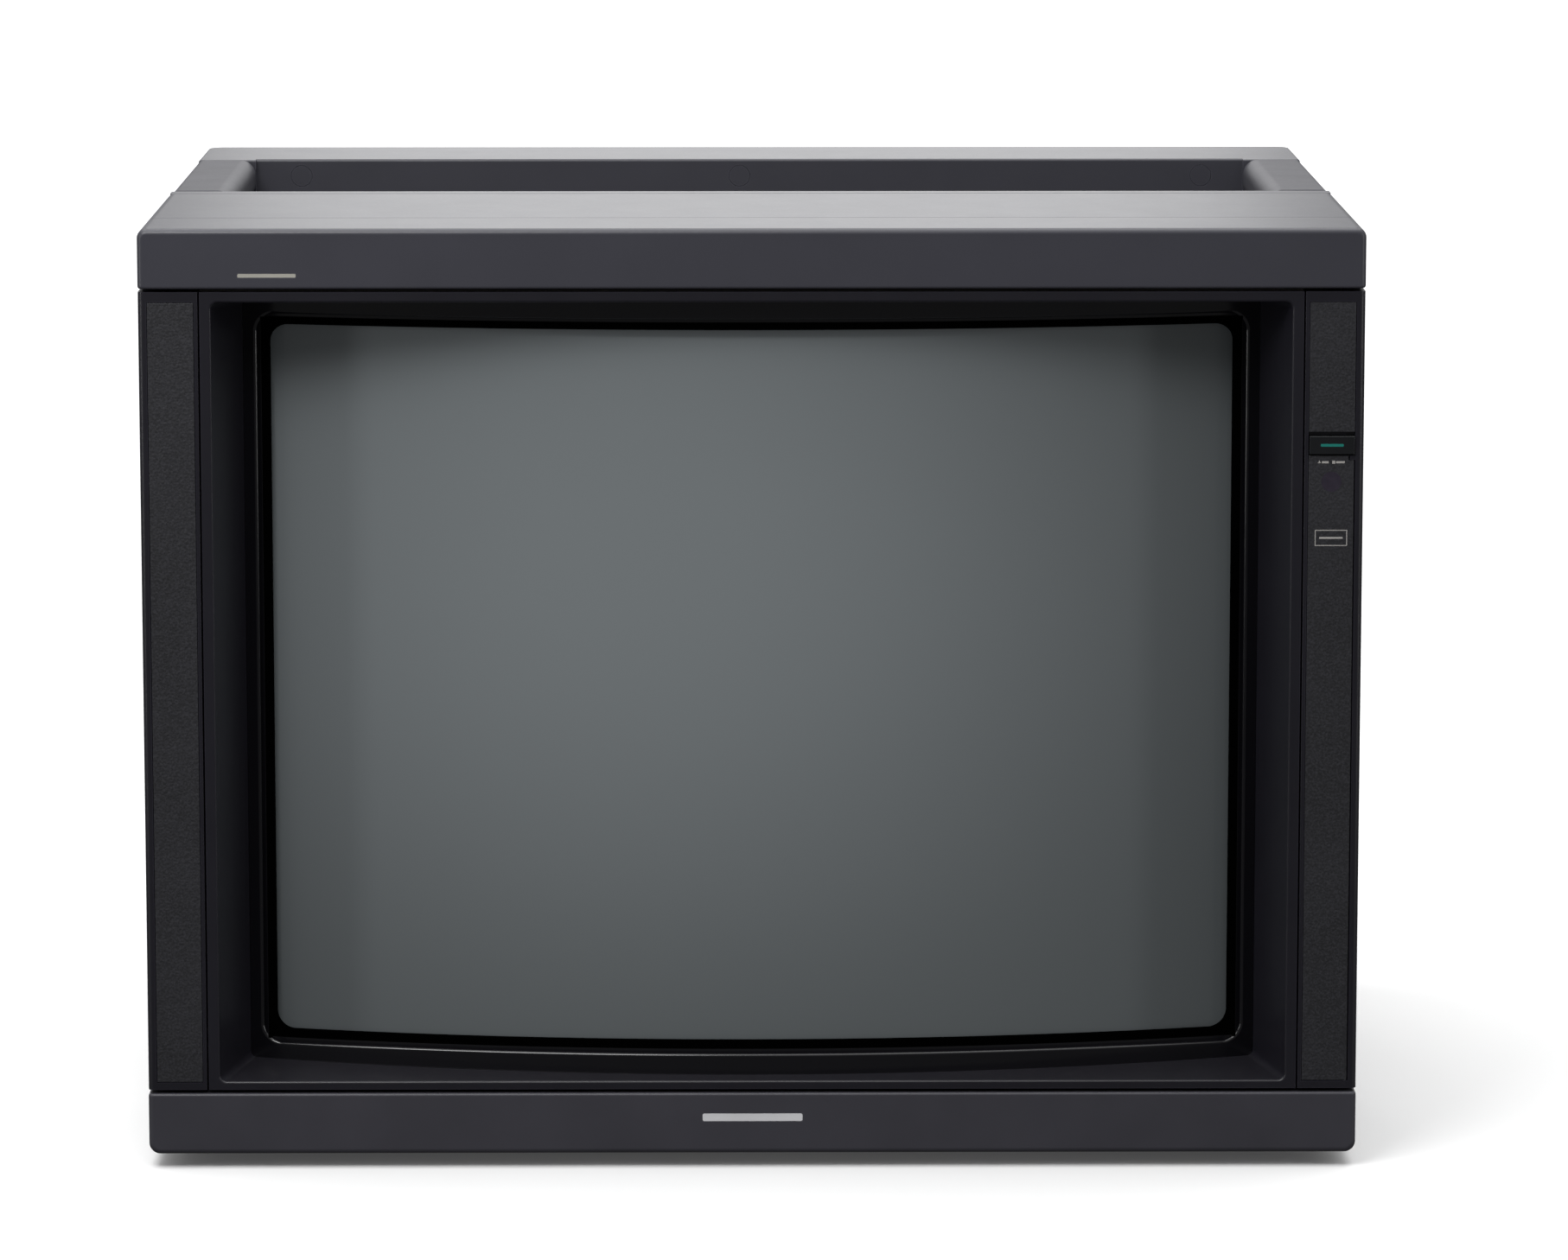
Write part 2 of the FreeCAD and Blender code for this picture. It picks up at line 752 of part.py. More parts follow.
# Lower front bar: the plinth's face, hollow and open at the back.
lower_bar = extruded(
    "lower_bar_body", "XZ_Plane", ("front", "front+lower_bar_depth"),
    [("-(half_width)", "foot_height"), ("half_width", "foot_height"),
     ("half_width", "bar_top"), ("-(half_width)", "bar_top")])
pocketed(
    lower_bar, "lower_bar_hollow", "XZ_Plane", ("front+shell_wall", "front+lower_bar_depth"),
    [("-(half_width)+shell_wall*2", "foot_height+shell_wall"),
     ("half_width-shell_wall*2", "foot_height+shell_wall"),
     ("half_width-shell_wall*2", "bar_top-shell_wall"),
     ("-(half_width)+shell_wall*2", "bar_top-shell_wall")])
softened(lower_bar, "lower_bar_corners", "lower_corner",
         {"x": "half_width", "z": "foot_height"}, {"x": "-(half_width)", "z": "foot_height"})
softened(lower_bar, "lower_bar_uprights", "bright_edge*2",
         {"x": "half_width", "y": "front"}, {"x": "-(half_width)", "y": "front"})
softened(lower_bar, "lower_bar_front_edges", "bright_edge",
         {"y": "front", "z": "foot_height"}, {"y": "front", "z": "bar_top"})
pocketed(
    lower_bar, "bar_plate_recess", "XZ_Plane", ("front", "front+plate_recess"),
    plate_corners("0", "(foot_height+bar_top)/2+bar_plate_height*0.75",
                  "bar_plate_width", "bar_plate_height"))
node("lower_front_bar", lower_bar)

# Base tray: a floor with upright walls behind the front bar.
tray = extruded(
    "tray_body", "XZ_Plane", ("front+lower_bar_depth+hairline", "back"),
    [("-(half_width)", "foot_height"), ("half_width", "foot_height"),
     ("half_width", "bar_top"), ("-(half_width)", "bar_top")])
softened(tray, "tray_corners", "shell_wall",
         {"x": "half_width", "z": "foot_height"}, {"x": "-(half_width)", "z": "foot_height"},
         {"y": "back", "z": "foot_height"}, {"x": "half_width", "y": "back"},
         {"x": "-(half_width)", "y": "back"})
pocketed(
    tray, "tray_hollow", "XY_Plane", ("foot_height+shell_wall", "bar_top"),
    [("-(half_width)+shell_wall", "front+lower_bar_depth+shell_wall"),
     ("half_width-shell_wall", "front+lower_bar_depth+shell_wall"),
     ("half_width-shell_wall", "back-shell_wall"), ("-(half_width)+shell_wall", "back-shell_wall")])
node("base_tray", tray)

# Four feet: turned rubber discs with a wider pad at the bottom.
feet = []
for side in ("-1", "1"):
    for end in ("-1", "1"):
        feet.append(turned(
            "foot", "z",
            (side + "*(half_width-foot_inset_side)", end + "*(back-foot_inset_end)", "0"),
            [("0", "0"), ("foot_radius", "0"), ("foot_radius-1", "foot_height"),
             ("0", "foot_height")]))
node("rubber_feet", group("foot_set", *feet))

# ---------------------------------------------------------------- bezel and mask

# Bezel: a moulded picture frame whose walls slope in to the curved screen.
bezel_block = block("bezel_block", both_sides("bezel_half_width"),
                    ("face", "front+bezel_depth"), ("mid_bottom", "mid_top"))
OPENING_DEPTH = "(bezel_depth+10)"
bezel_opening = taper(
    "bezel_opening", ("front", "front+%s" % OPENING_DEPTH),
    both_sides("bezel_half_width-bezel_side_land"),
    ("mid_bottom+bezel_bottom_land", "mid_top-bezel_top_land"),
    both_sides("bezel_half_width-bezel_side_land-bezel_side_slope*%s" % OPENING_DEPTH),
    ("mid_bottom+bezel_bottom_land+bezel_top_slope*%s" % OPENING_DEPTH,
     "mid_top-bezel_top_land-bezel_top_slope*%s" % OPENING_DEPTH))
soft_opening = filleted(
    "soft_opening", bezel_opening, "bezel_corner",
    lambda points: abs(points[-1].y - points[0].y) > 1)
bezel_sharp = carve("bezel_sharp", bezel_block, soft_opening,
                    curve_rod("bezel_curve", "mask_front+hairline/2"))
bezel_front_soft = filleted(
    "bezel_front_soft", bezel_sharp, "bezel_edge",
    lambda points: all(abs(point.y - number("face")) < 0.001 for point in points)
    and all(abs(point.x) < number("bezel_half_width-1") and
            number("mid_bottom+1") < point.z < number("mid_top-1") for point in points))
bezel_shell = filleted(
    "bezel_shell", bezel_front_soft, "bezel_inner_edge",
    lambda points: all(on_curve(point, "mask_front+hairline/2") for point in points)
    and all(abs(point.x) < number("bezel_half_width-bezel_side_land-3") and
            number("mid_bottom+5") < point.z < number("mid_top-5") for point in points))
# Four corner bosses take the screws that hold the tube.
bosses = []
for side in ("-1", "1"):
    for level in ("-1", "1"):
        inner = side + "*(bezel_half_width-boss_inset-boss_side)"
        outer = side + "*(bezel_half_width-boss_inset)"
        low = "middle+%s*((mid_top-mid_bottom)/2-boss_inset-boss_side)" % level
        high = "middle+%s*((mid_top-mid_bottom)/2-boss_inset)" % level
        across = (inner, outer) if side == "1" else (outer, inner)
        along = (low, high) if level == "1" else (high, low)
        bosses.append(block("boss", across, ("front+bezel_depth-2", "front+ear_setback"), along))
node("front_bezel", join("bezel_with_bosses", bezel_shell, *bosses))

# Screen mask: a black ring between bezel and glass, bent round the screen's cylinder.
def mask_layer(name, x_half, z_half, corner, front_extra, back_extra):
    """One layer of the mask: a ring between two cylinders round the same axis."""
    outside = block(name + "_outside", both_sides("glass_half_width+0.5"),
                    ("front", "front+face_setback*3"),
                    ("middle-glass_half_height-0.5", "middle+glass_half_height+0.5"))
    sheet_of_it = carve(
        name + "_sheet", common(name + "_front", outside, curve_rod(name + "_outer", front_extra)),
        curve_rod(name + "_inner", back_extra))
    hole = block(name + "_hole", both_sides(x_half), ("front-10", "front+face_setback*4"),
                 ("middle-(%s)" % z_half, "middle+%s" % z_half))
    soft_hole = rounded(
        name + "_soft_hole", hole, corner,
        {"x": x_half, "z": "middle+%s" % z_half}, {"x": x_half, "z": "middle-(%s)" % z_half},
        {"x": "-(%s)" % x_half, "z": "middle+%s" % z_half},
        {"x": "-(%s)" % x_half, "z": "middle-(%s)" % z_half})
    return carve(name, sheet_of_it, soft_hole)


mask_crest = filleted(
    "mask_crest_soft",
    mask_layer("mask_crest", "crest_half_width", "crest_half_height",
               "picture_corner", "mask_front", "mask_step"),
    "crest_edge",
    lambda points: all(on_curve(point, "mask_front") and
                       abs(point.x) < number("crest_half_width+0.1") and
                       abs(point.z - number("middle")) < number("crest_half_height+0.1")
                       for point in points))
mask_rim = mask_layer("mask_rim", "picture_half_width", "picture_half_height",
                      "picture_corner", "mask_step", "hairline")
node("screen_mask", join("mask", mask_crest, mask_rim))

# ---------------------------------------------------------------- side trims

def trim_block(name, back_place):
    """The upright bar beside the bezel, with its outer front edge rounded."""
    body = extruded(
        name, "XZ_Plane", ("face", back_place),
        [("trim_inner", "mid_bottom"), ("half_width", "mid_bottom"),
         ("half_width", "mid_top"), ("trim_inner", "mid_top")])
    pocketed(
        body, name + "_pocket", "XZ_Plane", ("face", "pocket_floor"),
        [("pocket_inner", "pocket_bottom"), ("pocket_outer", "pocket_bottom"),
         ("pocket_outer", "pocket_top"), ("pocket_inner", "pocket_top")])
    softened(body, name + "_edge", "bright_edge*2", {"x": "half_width", "y": "face"})
    softened(body, name + "_inner_edge", "soft_edge", {"x": "trim_inner", "y": "face"})
    return body


def front_panel(name, x, z):
    """A flat insert with its four front edges just softened."""
    plain = block(name + "_plain", x, ("face+slip_fit", "face+slip_fit+insert_thick"), z)
    return rounded(name, plain, "soft_edge", {"y": "face+slip_fit"})


left_trim = trim_block("left_trim_body", "trim_back")
node("left_trim_frame", mirrored("left_trim", left_trim))
node("left_trim_insert", front_panel(
    "left_insert", ("-(insert_outer)", "-(insert_inner)"), ("insert_bottom", "insert_top")))

# The right trim has a slot for the power button and a well behind the door.
right_trim = trim_block("right_trim_body", "trim_back")
pocketed(
    right_trim, "button_slot", "XZ_Plane", ("pocket_floor", "trim_back"),
    [("insert_inner+slip_fit", "button_bottom-slip_fit"),
     ("insert_outer", "button_bottom-slip_fit"),
     ("insert_outer", "button_top+slip_fit"), ("insert_inner+slip_fit", "button_top+slip_fit")])
pocketed(
    right_trim, "control_well", "XZ_Plane", ("pocket_floor", "trim_back"),
    [("pocket_inner+well_rim_inner", "well_bottom"), ("pocket_outer-well_rim_outer", "well_bottom"),
     ("pocket_outer-well_rim_outer", "well_top"), ("pocket_inner+well_rim_inner", "well_top")])
# A lug at the door's top corner and the rim below the door hold the hinge pin.
pin_lug = block("pin_lug", ("pin_x-insert_thick/2", "pocket_outer+1"),
                ("face+slip_fit", "pocket_floor+1"), ("door_top-door_lug_height", "door_top"))
pin_hole = rod("trim_pin_hole", "z", "door_pin_radius",
               ("pin_x", "pin_y", "mid_bottom+1"), "door_top-mid_bottom-1-hairline")
node("right_trim_frame", carve("right_trim", join("trim_with_lug", right_trim, pin_lug), pin_hole))
node("right_trim_insert", front_panel(
    "right_insert", ("insert_inner", "insert_outer"), ("upper_insert_bottom", "insert_top")))

# Power button: a bar that stands a little proud, with a spring and a switch behind it.
button = extruded(
    "button_body", "XZ_Plane", ("face-button_proud", "face-button_proud+button_depth"),
    [("insert_inner+slip_fit*2", "button_bottom"), ("insert_outer-slip_fit", "button_bottom"),
     ("insert_outer-slip_fit", "button_top"), ("insert_inner+slip_fit*2", "button_top")])
softened(button, "button_edges", "soft_edge", {"y": "face-button_proud"})
node("power_button", button)
BUTTON_MIDDLE = "(button_bottom+button_top)/2"
switch_body = block("switch_body", ("column_x-switch_width/2", "column_x+switch_width/2"),
                    ("trim_back+hairline", "trim_back+hairline+switch_depth"),
                    (BUTTON_MIDDLE + "-switch_height/2", BUTTON_MIDDLE + "+switch_height/2"))
node("power_switch", switch_body)


def spring_shape(radius, wire, length, turns):
    """A coil spring along +Z from the origin."""
    helix = Part.makeHelix(length / turns, length, radius)
    circle = Part.Wire(Part.makeCircle(wire, FreeCAD.Vector(radius, 0, 0), FreeCAD.Vector(0, 1, 0)))
    return Part.Wire(helix.Edges).makePipeShell([circle], True, True)


spring_room = number("trim_back+hairline") - number("face-button_proud+button_depth")
spring_wire = number("spring_wire")
spring = shape_feature("spring", spring_shape(
    number("spring_radius"), spring_wire,
    spring_room - 2 * spring_wire - number("slip_fit"), number("spring_turns")))
spring.Placement = FreeCAD.Placement(
    FreeCAD.Vector(number("column_x"),
                   number("face-button_proud+button_depth+slip_fit/2") + spring_wire,
                   number(BUTTON_MIDDLE)),
    AXIS_TURN["y"])
node("power_button_spring", spring)

# Control door: a long flap that turns on a steel pin in its outer edge.
door_plain = block("door_plain", ("insert_inner", "pin_x"),
                   ("face+slip_fit", "face+slip_fit+insert_thick"), ("insert_bottom", "door_top"))
door_panel = rounded(
    "door_panel", door_plain, "soft_edge",
    {"x": "insert_inner", "y": "face+slip_fit"}, {"y": "face+slip_fit", "z": "insert_bottom"},
    {"y": "face+slip_fit", "z": "door_top"})
door_edge = rod("door_edge", "z", "insert_thick/2", ("pin_x", "pin_y", "insert_bottom"),
                "door_top-insert_bottom")
door_bore = rod("door_bore", "z", "door_pin_radius+running_fit",
                ("pin_x", "pin_y", "insert_bottom-1"), "door_top-insert_bottom+2")
window_hole = rod("window_hole", "y", "window_radius+running_fit",
                  ("column_x", "face", "window_z"), "insert_thick+2")
lug_space = block("lug_space", ("pin_x-insert_thick/2-lug_clearance", "insert_outer+1"),
                  ("face", "pocket_floor"), ("door_top-door_lug_height-slip_fit", "door_top+1"))
node("control_door", carve("door", join("door_solid", door_panel, door_edge),
                           door_bore, window_hole, lug_space))
node("door_hinge_pin", rod("hinge_pin", "z", "door_pin_radius",
                           ("pin_x", "pin_y", "mid_bottom+1"), "door_top-mid_bottom-1-hairline"))
node("remote_window", rod("window_lens", "y", "window_radius",
                          ("column_x", "face+slip_fit", "window_z"), "insert_thick"))

# ---------------------------------------------------------------- control compartment

PANEL_FRONT = "trim_back+hairline"
panel_plate = block("panel_plate", ("trim_inner+hairline", "side_inner-hairline"),
                    (PANEL_FRONT, PANEL_FRONT + "+panel_thick"), ("well_bottom-6", "well_top+3"))
KNOBS = ("brightness", "picture", "colour", "hue")


def knob_level(index):
    """Height of one knob's axis, counted down from the top of the well."""
    return "well_top-knob_first_drop-knob_pitch*%d" % index


INPUT_LEVEL = knob_level(len(KNOBS))

panel_holes = [rod("knob_hole", "y", "knob_shaft_radius+running_fit",
                   ("control_x", PANEL_FRONT + "-1", knob_level(index)), "panel_thick+2")
               for index in range(len(KNOBS))]
panel_holes.append(block(
    "input_hole",
    ("control_x-input_button_width/2-slip_fit", "control_x+input_button_width/2+slip_fit"),
    (PANEL_FRONT + "-1", PANEL_FRONT + "+panel_thick+1"),
    (INPUT_LEVEL + "-input_button_height/2-slip_fit",
     INPUT_LEVEL + "+input_button_height/2+slip_fit")))
node("control_panel", carve("drilled_panel", panel_plate, *panel_holes))

for index, name in enumerate(KNOBS):
    knob = turned(
        name + "_knob_body", "y",
        ("control_x", PANEL_FRONT + "-knob_gap-knob_length", knob_level(index)),
        [("0", "0"), ("knob_radius-1", "0"), ("knob_radius", "1"), ("knob_radius", "knob_length"),
         ("knob_shaft_radius", "knob_length"), ("knob_shaft_radius", "knob_length+panel_thick+3"),
         ("0", "knob_length+panel_thick+3")])
    pointer = block(name + "_groove", ("control_x-0.5", "control_x+0.5"),
                    (PANEL_FRONT + "-knob_gap-knob_length-1", PANEL_FRONT + "-knob_gap-knob_length+0.8"),
                    (knob_level(index) + "+1", knob_level(index) + "+knob_radius+1"))
    node(name + "_knob", carve(name + "_knob_cut", knob, pointer))

# Input button: steps through the line inputs.
input_button = extruded(
    "input_button_body", "XZ_Plane", (PANEL_FRONT + "-input_button_length", PANEL_FRONT + "+panel_thick+4"),
    [("control_x-input_button_width/2", INPUT_LEVEL + "-input_button_height/2"),
     ("control_x+input_button_width/2", INPUT_LEVEL + "-input_button_height/2"),
     ("control_x+input_button_width/2", INPUT_LEVEL + "+input_button_height/2"),
     ("control_x-input_button_width/2", INPUT_LEVEL + "+input_button_height/2")])
softened(input_button, "input_button_edges", "bright_edge/2", {"y": PANEL_FRONT + "-input_button_length"})
node("input_button", input_button)

# ---------------------------------------------------------------- side panels

side_skin = block("side_skin", ("side_inner", "half_width"),
                  ("trim_back+hairline", "hood_back"), ("mid_bottom", "mid_top"))
side_tongue = block("side_tongue", ("side_inner", "half_width-notch_depth"),
                    ("trim_back+hairline", "hood_back"), ("bar_top", "hood_bottom"))
side_right = join("side_right", side_skin, side_tongue)
node("side_panel_right", side_right)
node("side_panel_left", mirrored("side_left", side_right))

# ---------------------------------------------------------------- picture tube

def tube_block(name, inset, back_place, corner):
    """The glass panel's plan with rounded corners, this far in from its outside."""
    plain = block(name + "_plain", both_sides("glass_half_width-(%s)" % inset),
                  ("front-5", back_place),
                  ("middle-glass_half_height+(%s)" % inset, "middle+glass_half_height-(%s)" % inset))
    level_up = "middle+glass_half_height-(%s)" % inset
    level_down = "middle-glass_half_height+(%s)" % inset
    right = "glass_half_width-(%s)" % inset
    left = "-(%s)" % right
    return rounded(name + "_soft", plain, corner,
                   {"x": right, "z": level_up}, {"x": right, "z": level_down},
                   {"x": left, "z": level_up}, {"x": left, "z": level_down})


panel_outside = common("panel_outside", tube_block("panel_out", "0", "front+skirt_end", "glass_corner"),
                       curve_rod("panel_curve", "0"))
panel_inside = common("panel_inside",
                      tube_block("panel_in", "glass_wall", "front+skirt_end+1",
                                 "glass_corner-glass_wall"),
                      curve_rod("panel_inner_curve", "-glass_wall"))
node("tube_face_glass", carve("face_glass", panel_outside, panel_inside))

# Funnel: flat-sided sections that shrink from the panel to the round neck.
FUNNEL_SECTIONS = (
    # setback, half width, half height and corner, the first tied to the panel
    ("skirt_end", "glass_half_width", "glass_half_height", "glass_corner+12"),
    ("skirt_end+70", "glass_half_width*0.87", "glass_half_height*0.88", "80"),
    ("skirt_end+140", "glass_half_width*0.6", "glass_half_height*0.64", "100"),
    ("yoke_front+4", "78", "78", "77"),
    ("yoke_back-7", "30", "30", "29"),
    ("neck_start", "neck_radius", "neck_radius", "neck_radius-0.5"),
)


def funnel_skin(inset):
    """The funnel's solid, this far in from its outside."""
    sections = []
    for setback, x_half, z_half, corner in FUNNEL_SECTIONS:
        sections.append(rounded_frame(
            number(x_half) - inset, number(z_half) - inset,
            max(number(corner) - inset, 1.0), number("front+" + setback)))
    return Part.makeLoft(sections, True, True)


funnel_shape = funnel_skin(0).cut(funnel_skin(number("funnel_wall")))
neck_length = number("neck_end-neck_start")
neck_tube = Part.makeCylinder(
    number("neck_radius"), neck_length,
    FreeCAD.Vector(0, number("front+neck_start"), number("middle")), FreeCAD.Vector(0, 1, 0))
neck_bore = Part.makeCylinder(
    number("neck_radius-neck_wall"), neck_length - 2,
    FreeCAD.Vector(0, number("front+neck_start"), number("middle")), FreeCAD.Vector(0, 1, 0))
node("tube_funnel", shape_feature("funnel", funnel_shape.fuse(neck_tube.cut(neck_bore))))

# Implosion band: a steel strap round the panel's skirt, with an ear at each corner.
BAND_FRONT = "front+skirt_end-34"
band_outer = tube_block("band_out", "-band_thick", "front+skirt_end", "glass_corner+band_thick")
band_inner = tube_block("band_in", "-slip_fit", "front+skirt_end", "glass_corner+slip_fit")
band_slice = block("band_slice", both_sides("half_width"), (BAND_FRONT, BAND_FRONT + "+band_width"),
                   ("0", "overall_height"))
band_ring = common("band_ring", carve("band_shell", band_outer, band_inner), band_slice)
ears = []
ear_holes = []
screws = []
for side in ("-1", "1"):
    for level in ("-1", "1"):
        inner = side + "*(glass_half_width-4)"
        outer = side + "*(bezel_half_width-2)"
        low = "middle+%s*(glass_half_height-14)" % level
        high = "middle+%s*((mid_top-mid_bottom)/2-2)" % level
        across = (inner, outer) if side == "1" else (outer, inner)
        along = (low, high) if level == "1" else (high, low)
        plain_ear = block("plain_ear", across, ("front+ear_setback", "front+ear_setback+ear_thick"), along)
        web = block("ear_web", ("%s*(glass_half_width+1)%s" % (side, "" if side == "1" else "-2"),
                                "%s*(glass_half_width+1)%s" % (side, "+2" if side == "1" else "")),
                    ("front+ear_setback", BAND_FRONT + "+band_width"),
                    ("middle+%s*(glass_half_height-glass_corner-2)-4" % level,
                     "middle+%s*(glass_half_height-glass_corner-2)+4" % level))
        link = block("ear_link", ("%s*(glass_half_width+1)%s" % (side, "" if side == "1" else "-2"),
                                  "%s*(glass_half_width+1)%s" % (side, "+2" if side == "1" else "")),
                     ("front+ear_setback", "front+ear_setback+ear_thick"),
                     (("middle+glass_half_height-glass_corner-6",
                       "middle+glass_half_height-2") if level == "1" else
                      ("middle-glass_half_height+2",
                       "middle-glass_half_height+glass_corner+6")))
        screw_x = side + "*(bezel_half_width-boss_inset-boss_side/2)"
        screw_z = "middle+%s*((mid_top-mid_bottom)/2-boss_inset-boss_side/2)" % level
        ears += [plain_ear, web, link]
        ear_holes.append(rod("ear_hole", "y", "tube_screw_hole", (screw_x, "front+bezel_depth+8", screw_z), "8"))
        screws.append(turned("tube_screw", "y", (screw_x, "front+ear_setback", screw_z),
                             [("0", "0"), ("2", "0"), ("2", "2.5"), ("5", "2.5"), ("4", "5.5"),
                              ("0", "5.5")]))
node("implosion_band", carve("band", join("band_with_ears", band_ring, *ears), *(
    ear_holes + [tube_block("band_clear", "-slip_fit", "front+skirt_end+1",
                            "glass_corner+slip_fit")])))
node("tube_screws", group("tube_screw_set", *screws))

# Aperture grille: a thin curved sheet just inside the panel.
grille_block = block("grille_block", both_sides("picture_half_width-3"),
                     ("front", "front+skirt_end-12"),
                     ("middle-picture_half_height+2", "middle+picture_half_height-2"))
node("aperture_grille", carve(
    "grille", common("grille_front", grille_block, curve_rod("grille_curve", "-glass_wall-4")),
    curve_rod("grille_back", "-glass_wall-5")))

# Electron gun in the neck: stacked cups along the axis.
node("electron_gun", turned(
    "gun", "y", ("0", "front+yoke_back", "middle"),
    [("0", "0"), ("9", "0"), ("9", "26"), ("6", "28"), ("6", "34"), ("10", "36"), ("10", "58"),
     ("7", "60"), ("7", "66"), ("11", "68"), ("11", "neck_end-yoke_back-5"),
     ("0", "neck_end-yoke_back-5")]))

# ---------------------------------------------------------------- deflection

YOKE_LENGTH = "(yoke_back-yoke_front)"
windings = carve(
    "yoke_coil",
    cone("yoke_coil_out", "y", "yoke_front_radius", "yoke_back_radius",
         ("0", "front+yoke_front", "middle"), YOKE_LENGTH),
    cone("yoke_coil_in", "y", "yoke_front_radius-yoke_thick_front",
         "yoke_back_radius-yoke_thick_back", ("0", "front+yoke_front", "middle"), YOKE_LENGTH))
node("yoke_windings", windings)
CORE_SLOPE = "((yoke_front_radius-yoke_back_radius)/(yoke_back-yoke_front))"
core_out = cone("core_out", "y", "yoke_front_radius-3",
                "yoke_front_radius-3-core_length*%s" % CORE_SLOPE,
                ("0", "front+yoke_front+core_setback", "middle"), "core_length")
core_in = cone("core_in", "y", "yoke_front_radius+hairline-core_setback*%s" % CORE_SLOPE,
               "yoke_front_radius+hairline-(core_setback+core_length)*%s" % CORE_SLOPE,
               ("0", "front+yoke_front+core_setback", "middle"), "core_length")
node("yoke_core", carve("core", core_out, core_in))

# Sleeve and two ring magnets that turn on it.
SLEEVE_FRONT = "front+neck_start+8"
sleeve_out = rod("sleeve_out", "y", "neck_radius+hairline+sleeve_wall",
                 ("0", SLEEVE_FRONT, "middle"), "sleeve_length")
sleeve_in = rod("sleeve_in", "y", "neck_radius+slip_fit", ("0", SLEEVE_FRONT + "-1", "middle"),
                "sleeve_length+2")
node("magnet_sleeve", carve("sleeve", sleeve_out, sleeve_in))
for index, name in enumerate(("purity", "convergence")):
    ring_front = SLEEVE_FRONT + "+ring_gap+%d*(ring_thick+ring_gap)" % index
    disc = rod(name + "_disc", "y", "ring_radius", ("0", ring_front, "middle"), "ring_thick")
    tab = block(name + "_tab", both_sides("tab_width/2"), (ring_front, ring_front + "+ring_thick"),
                ("middle+ring_radius-tab_width/2", "middle+ring_radius+tab_reach"))
    bore = rod(name + "_bore", "y", "neck_radius+hairline+sleeve_wall+running_fit",
               ("0", ring_front + "-1", "middle"), "ring_thick+2")
    node(name + "_ring", carve(name + "_magnet", join(name + "_solid", disc, tab), bore))

# Neck board: a card with the tube's socket soldered to it.
socket_out = rod("socket_out", "y", "neck_radius+3", ("0", "front+neck_end-6", "middle"), "18")
socket_in = rod("socket_in", "y", "neck_radius+slip_fit", ("0", "front+neck_end-7", "middle"), "7.4")
neck_card = block("neck_card", both_sides("50"),
                  ("front+neck_end+12", "front+neck_end+12+board_thick"),
                  ("middle-45", "middle+40"))
node("neck_board", join("neck_board_solid", carve("socket", socket_out, socket_in), neck_card))

# Degaussing coil: a taped loop round the funnel just behind the panel.
coil_path = rounded_frame(
    number("glass_half_width-0.5"), number("glass_half_height-0.5"),
    number("coil_corner"), number("front+coil_setback"))
node("degaussing_coil", shape_feature("coil", tube_along(coil_path, number("coil_radius"))))

# Anode cap: a rubber cup on the funnel's sloping top, with its lead to the flyback.
cap_y = number("front+skirt_end+90")
upper, lower = FUNNEL_SECTIONS[1], FUNNEL_SECTIONS[2]
drop = number(upper[2]) - number(lower[2])
run = number(lower[0]) - number(upper[0])
slope = math.atan2(drop, run)
cap_z = number("middle") + number(upper[2]) - drop * (cap_y - number("front+" + upper[0])) / run
normal = FreeCAD.Vector(0, math.sin(slope), math.cos(slope))
surface = FreeCAD.Vector(0, cap_y, cap_z)
cap_height = number("cap_height")
cap = Part.makeCone(number("cap_radius"), number("cap_radius/3"), cap_height,
                    surface + normal * number("slip_fit"), normal)
node("anode_cap", shape_feature("cap", cap))

FLYBACK = {"x": ("118", "166"), "y": ("back-180", "back-125"), "z": ("board_top", "board_top+80")}
flyback_top = number(FLYBACK["z"][1])
lead_start = surface + normal * (cap_height + 0.4)
lead_end = FreeCAD.Vector(142, number("back-152"), flyback_top + 0.3)
lead_points = [
    lead_start,
    lead_start + normal * 20,
    FreeCAD.Vector(48, cap_y + 52, cap_z - 8),
    FreeCAD.Vector(112, cap_y + 80, cap_z - 58),
    FreeCAD.Vector(150, cap_y + 100, cap_z - 128),
    FreeCAD.Vector(152, number("back-146"), cap_z - 200),
    FreeCAD.Vector(142, number("back-152"), flyback_top + 50),
    lead_end,
]
lead = tube_along(bent_path(lead_points), number("lead_radius"))
node("anode_lead", shape_feature("lead", lead))

# ---------------------------------------------------------------- electronics

# Chassis frame: a pressed tray with two side rails that carry the main board.
frame_plate = block("frame_plate", both_sides("board_width/2+4"), ("board_front", "board_back"),
                    ("cover_bottom+shell_wall+0.5", "cover_bottom+shell_wall+2.5"))
frame_rails = [block("frame_rail", span, ("board_front", "board_back"),
                     ("cover_bottom+shell_wall+0.5", "board_height"))
               for span in (("-board_width/2-4", "-board_width/2+4"),
                            ("board_width/2-4", "board_width/2+4"))]
node("chassis_frame", join("chassis", frame_plate, *frame_rails))
node("main_board", block("main_card", both_sides("board_width/2"),
                         ("board_front+2", "board_back-2"), ("board_height", "board_top")))
node("flyback_transformer", block("flyback", FLYBACK["x"], FLYBACK["y"], FLYBACK["z"]))
node("focus_knob", turned(
    "focus_adjuster", "y", ("142", "back-125+0.3", "board_top+58"),
    [("0", "0"), ("6", "0"), ("6", "8"), ("5", "9"), ("0", "9")]))
node("mains_transformer", join(
    "mains_coil_and_core",
    block("mains_core", ("-160", "-100"), ("back-232", "back-182"), ("board_top", "board_top+46")),
    block("mains_coil", ("-152", "-108"), ("back-240", "back-174"), ("board_top+8", "board_top+38"))))

# ---------------------------------------------------------------- back cover

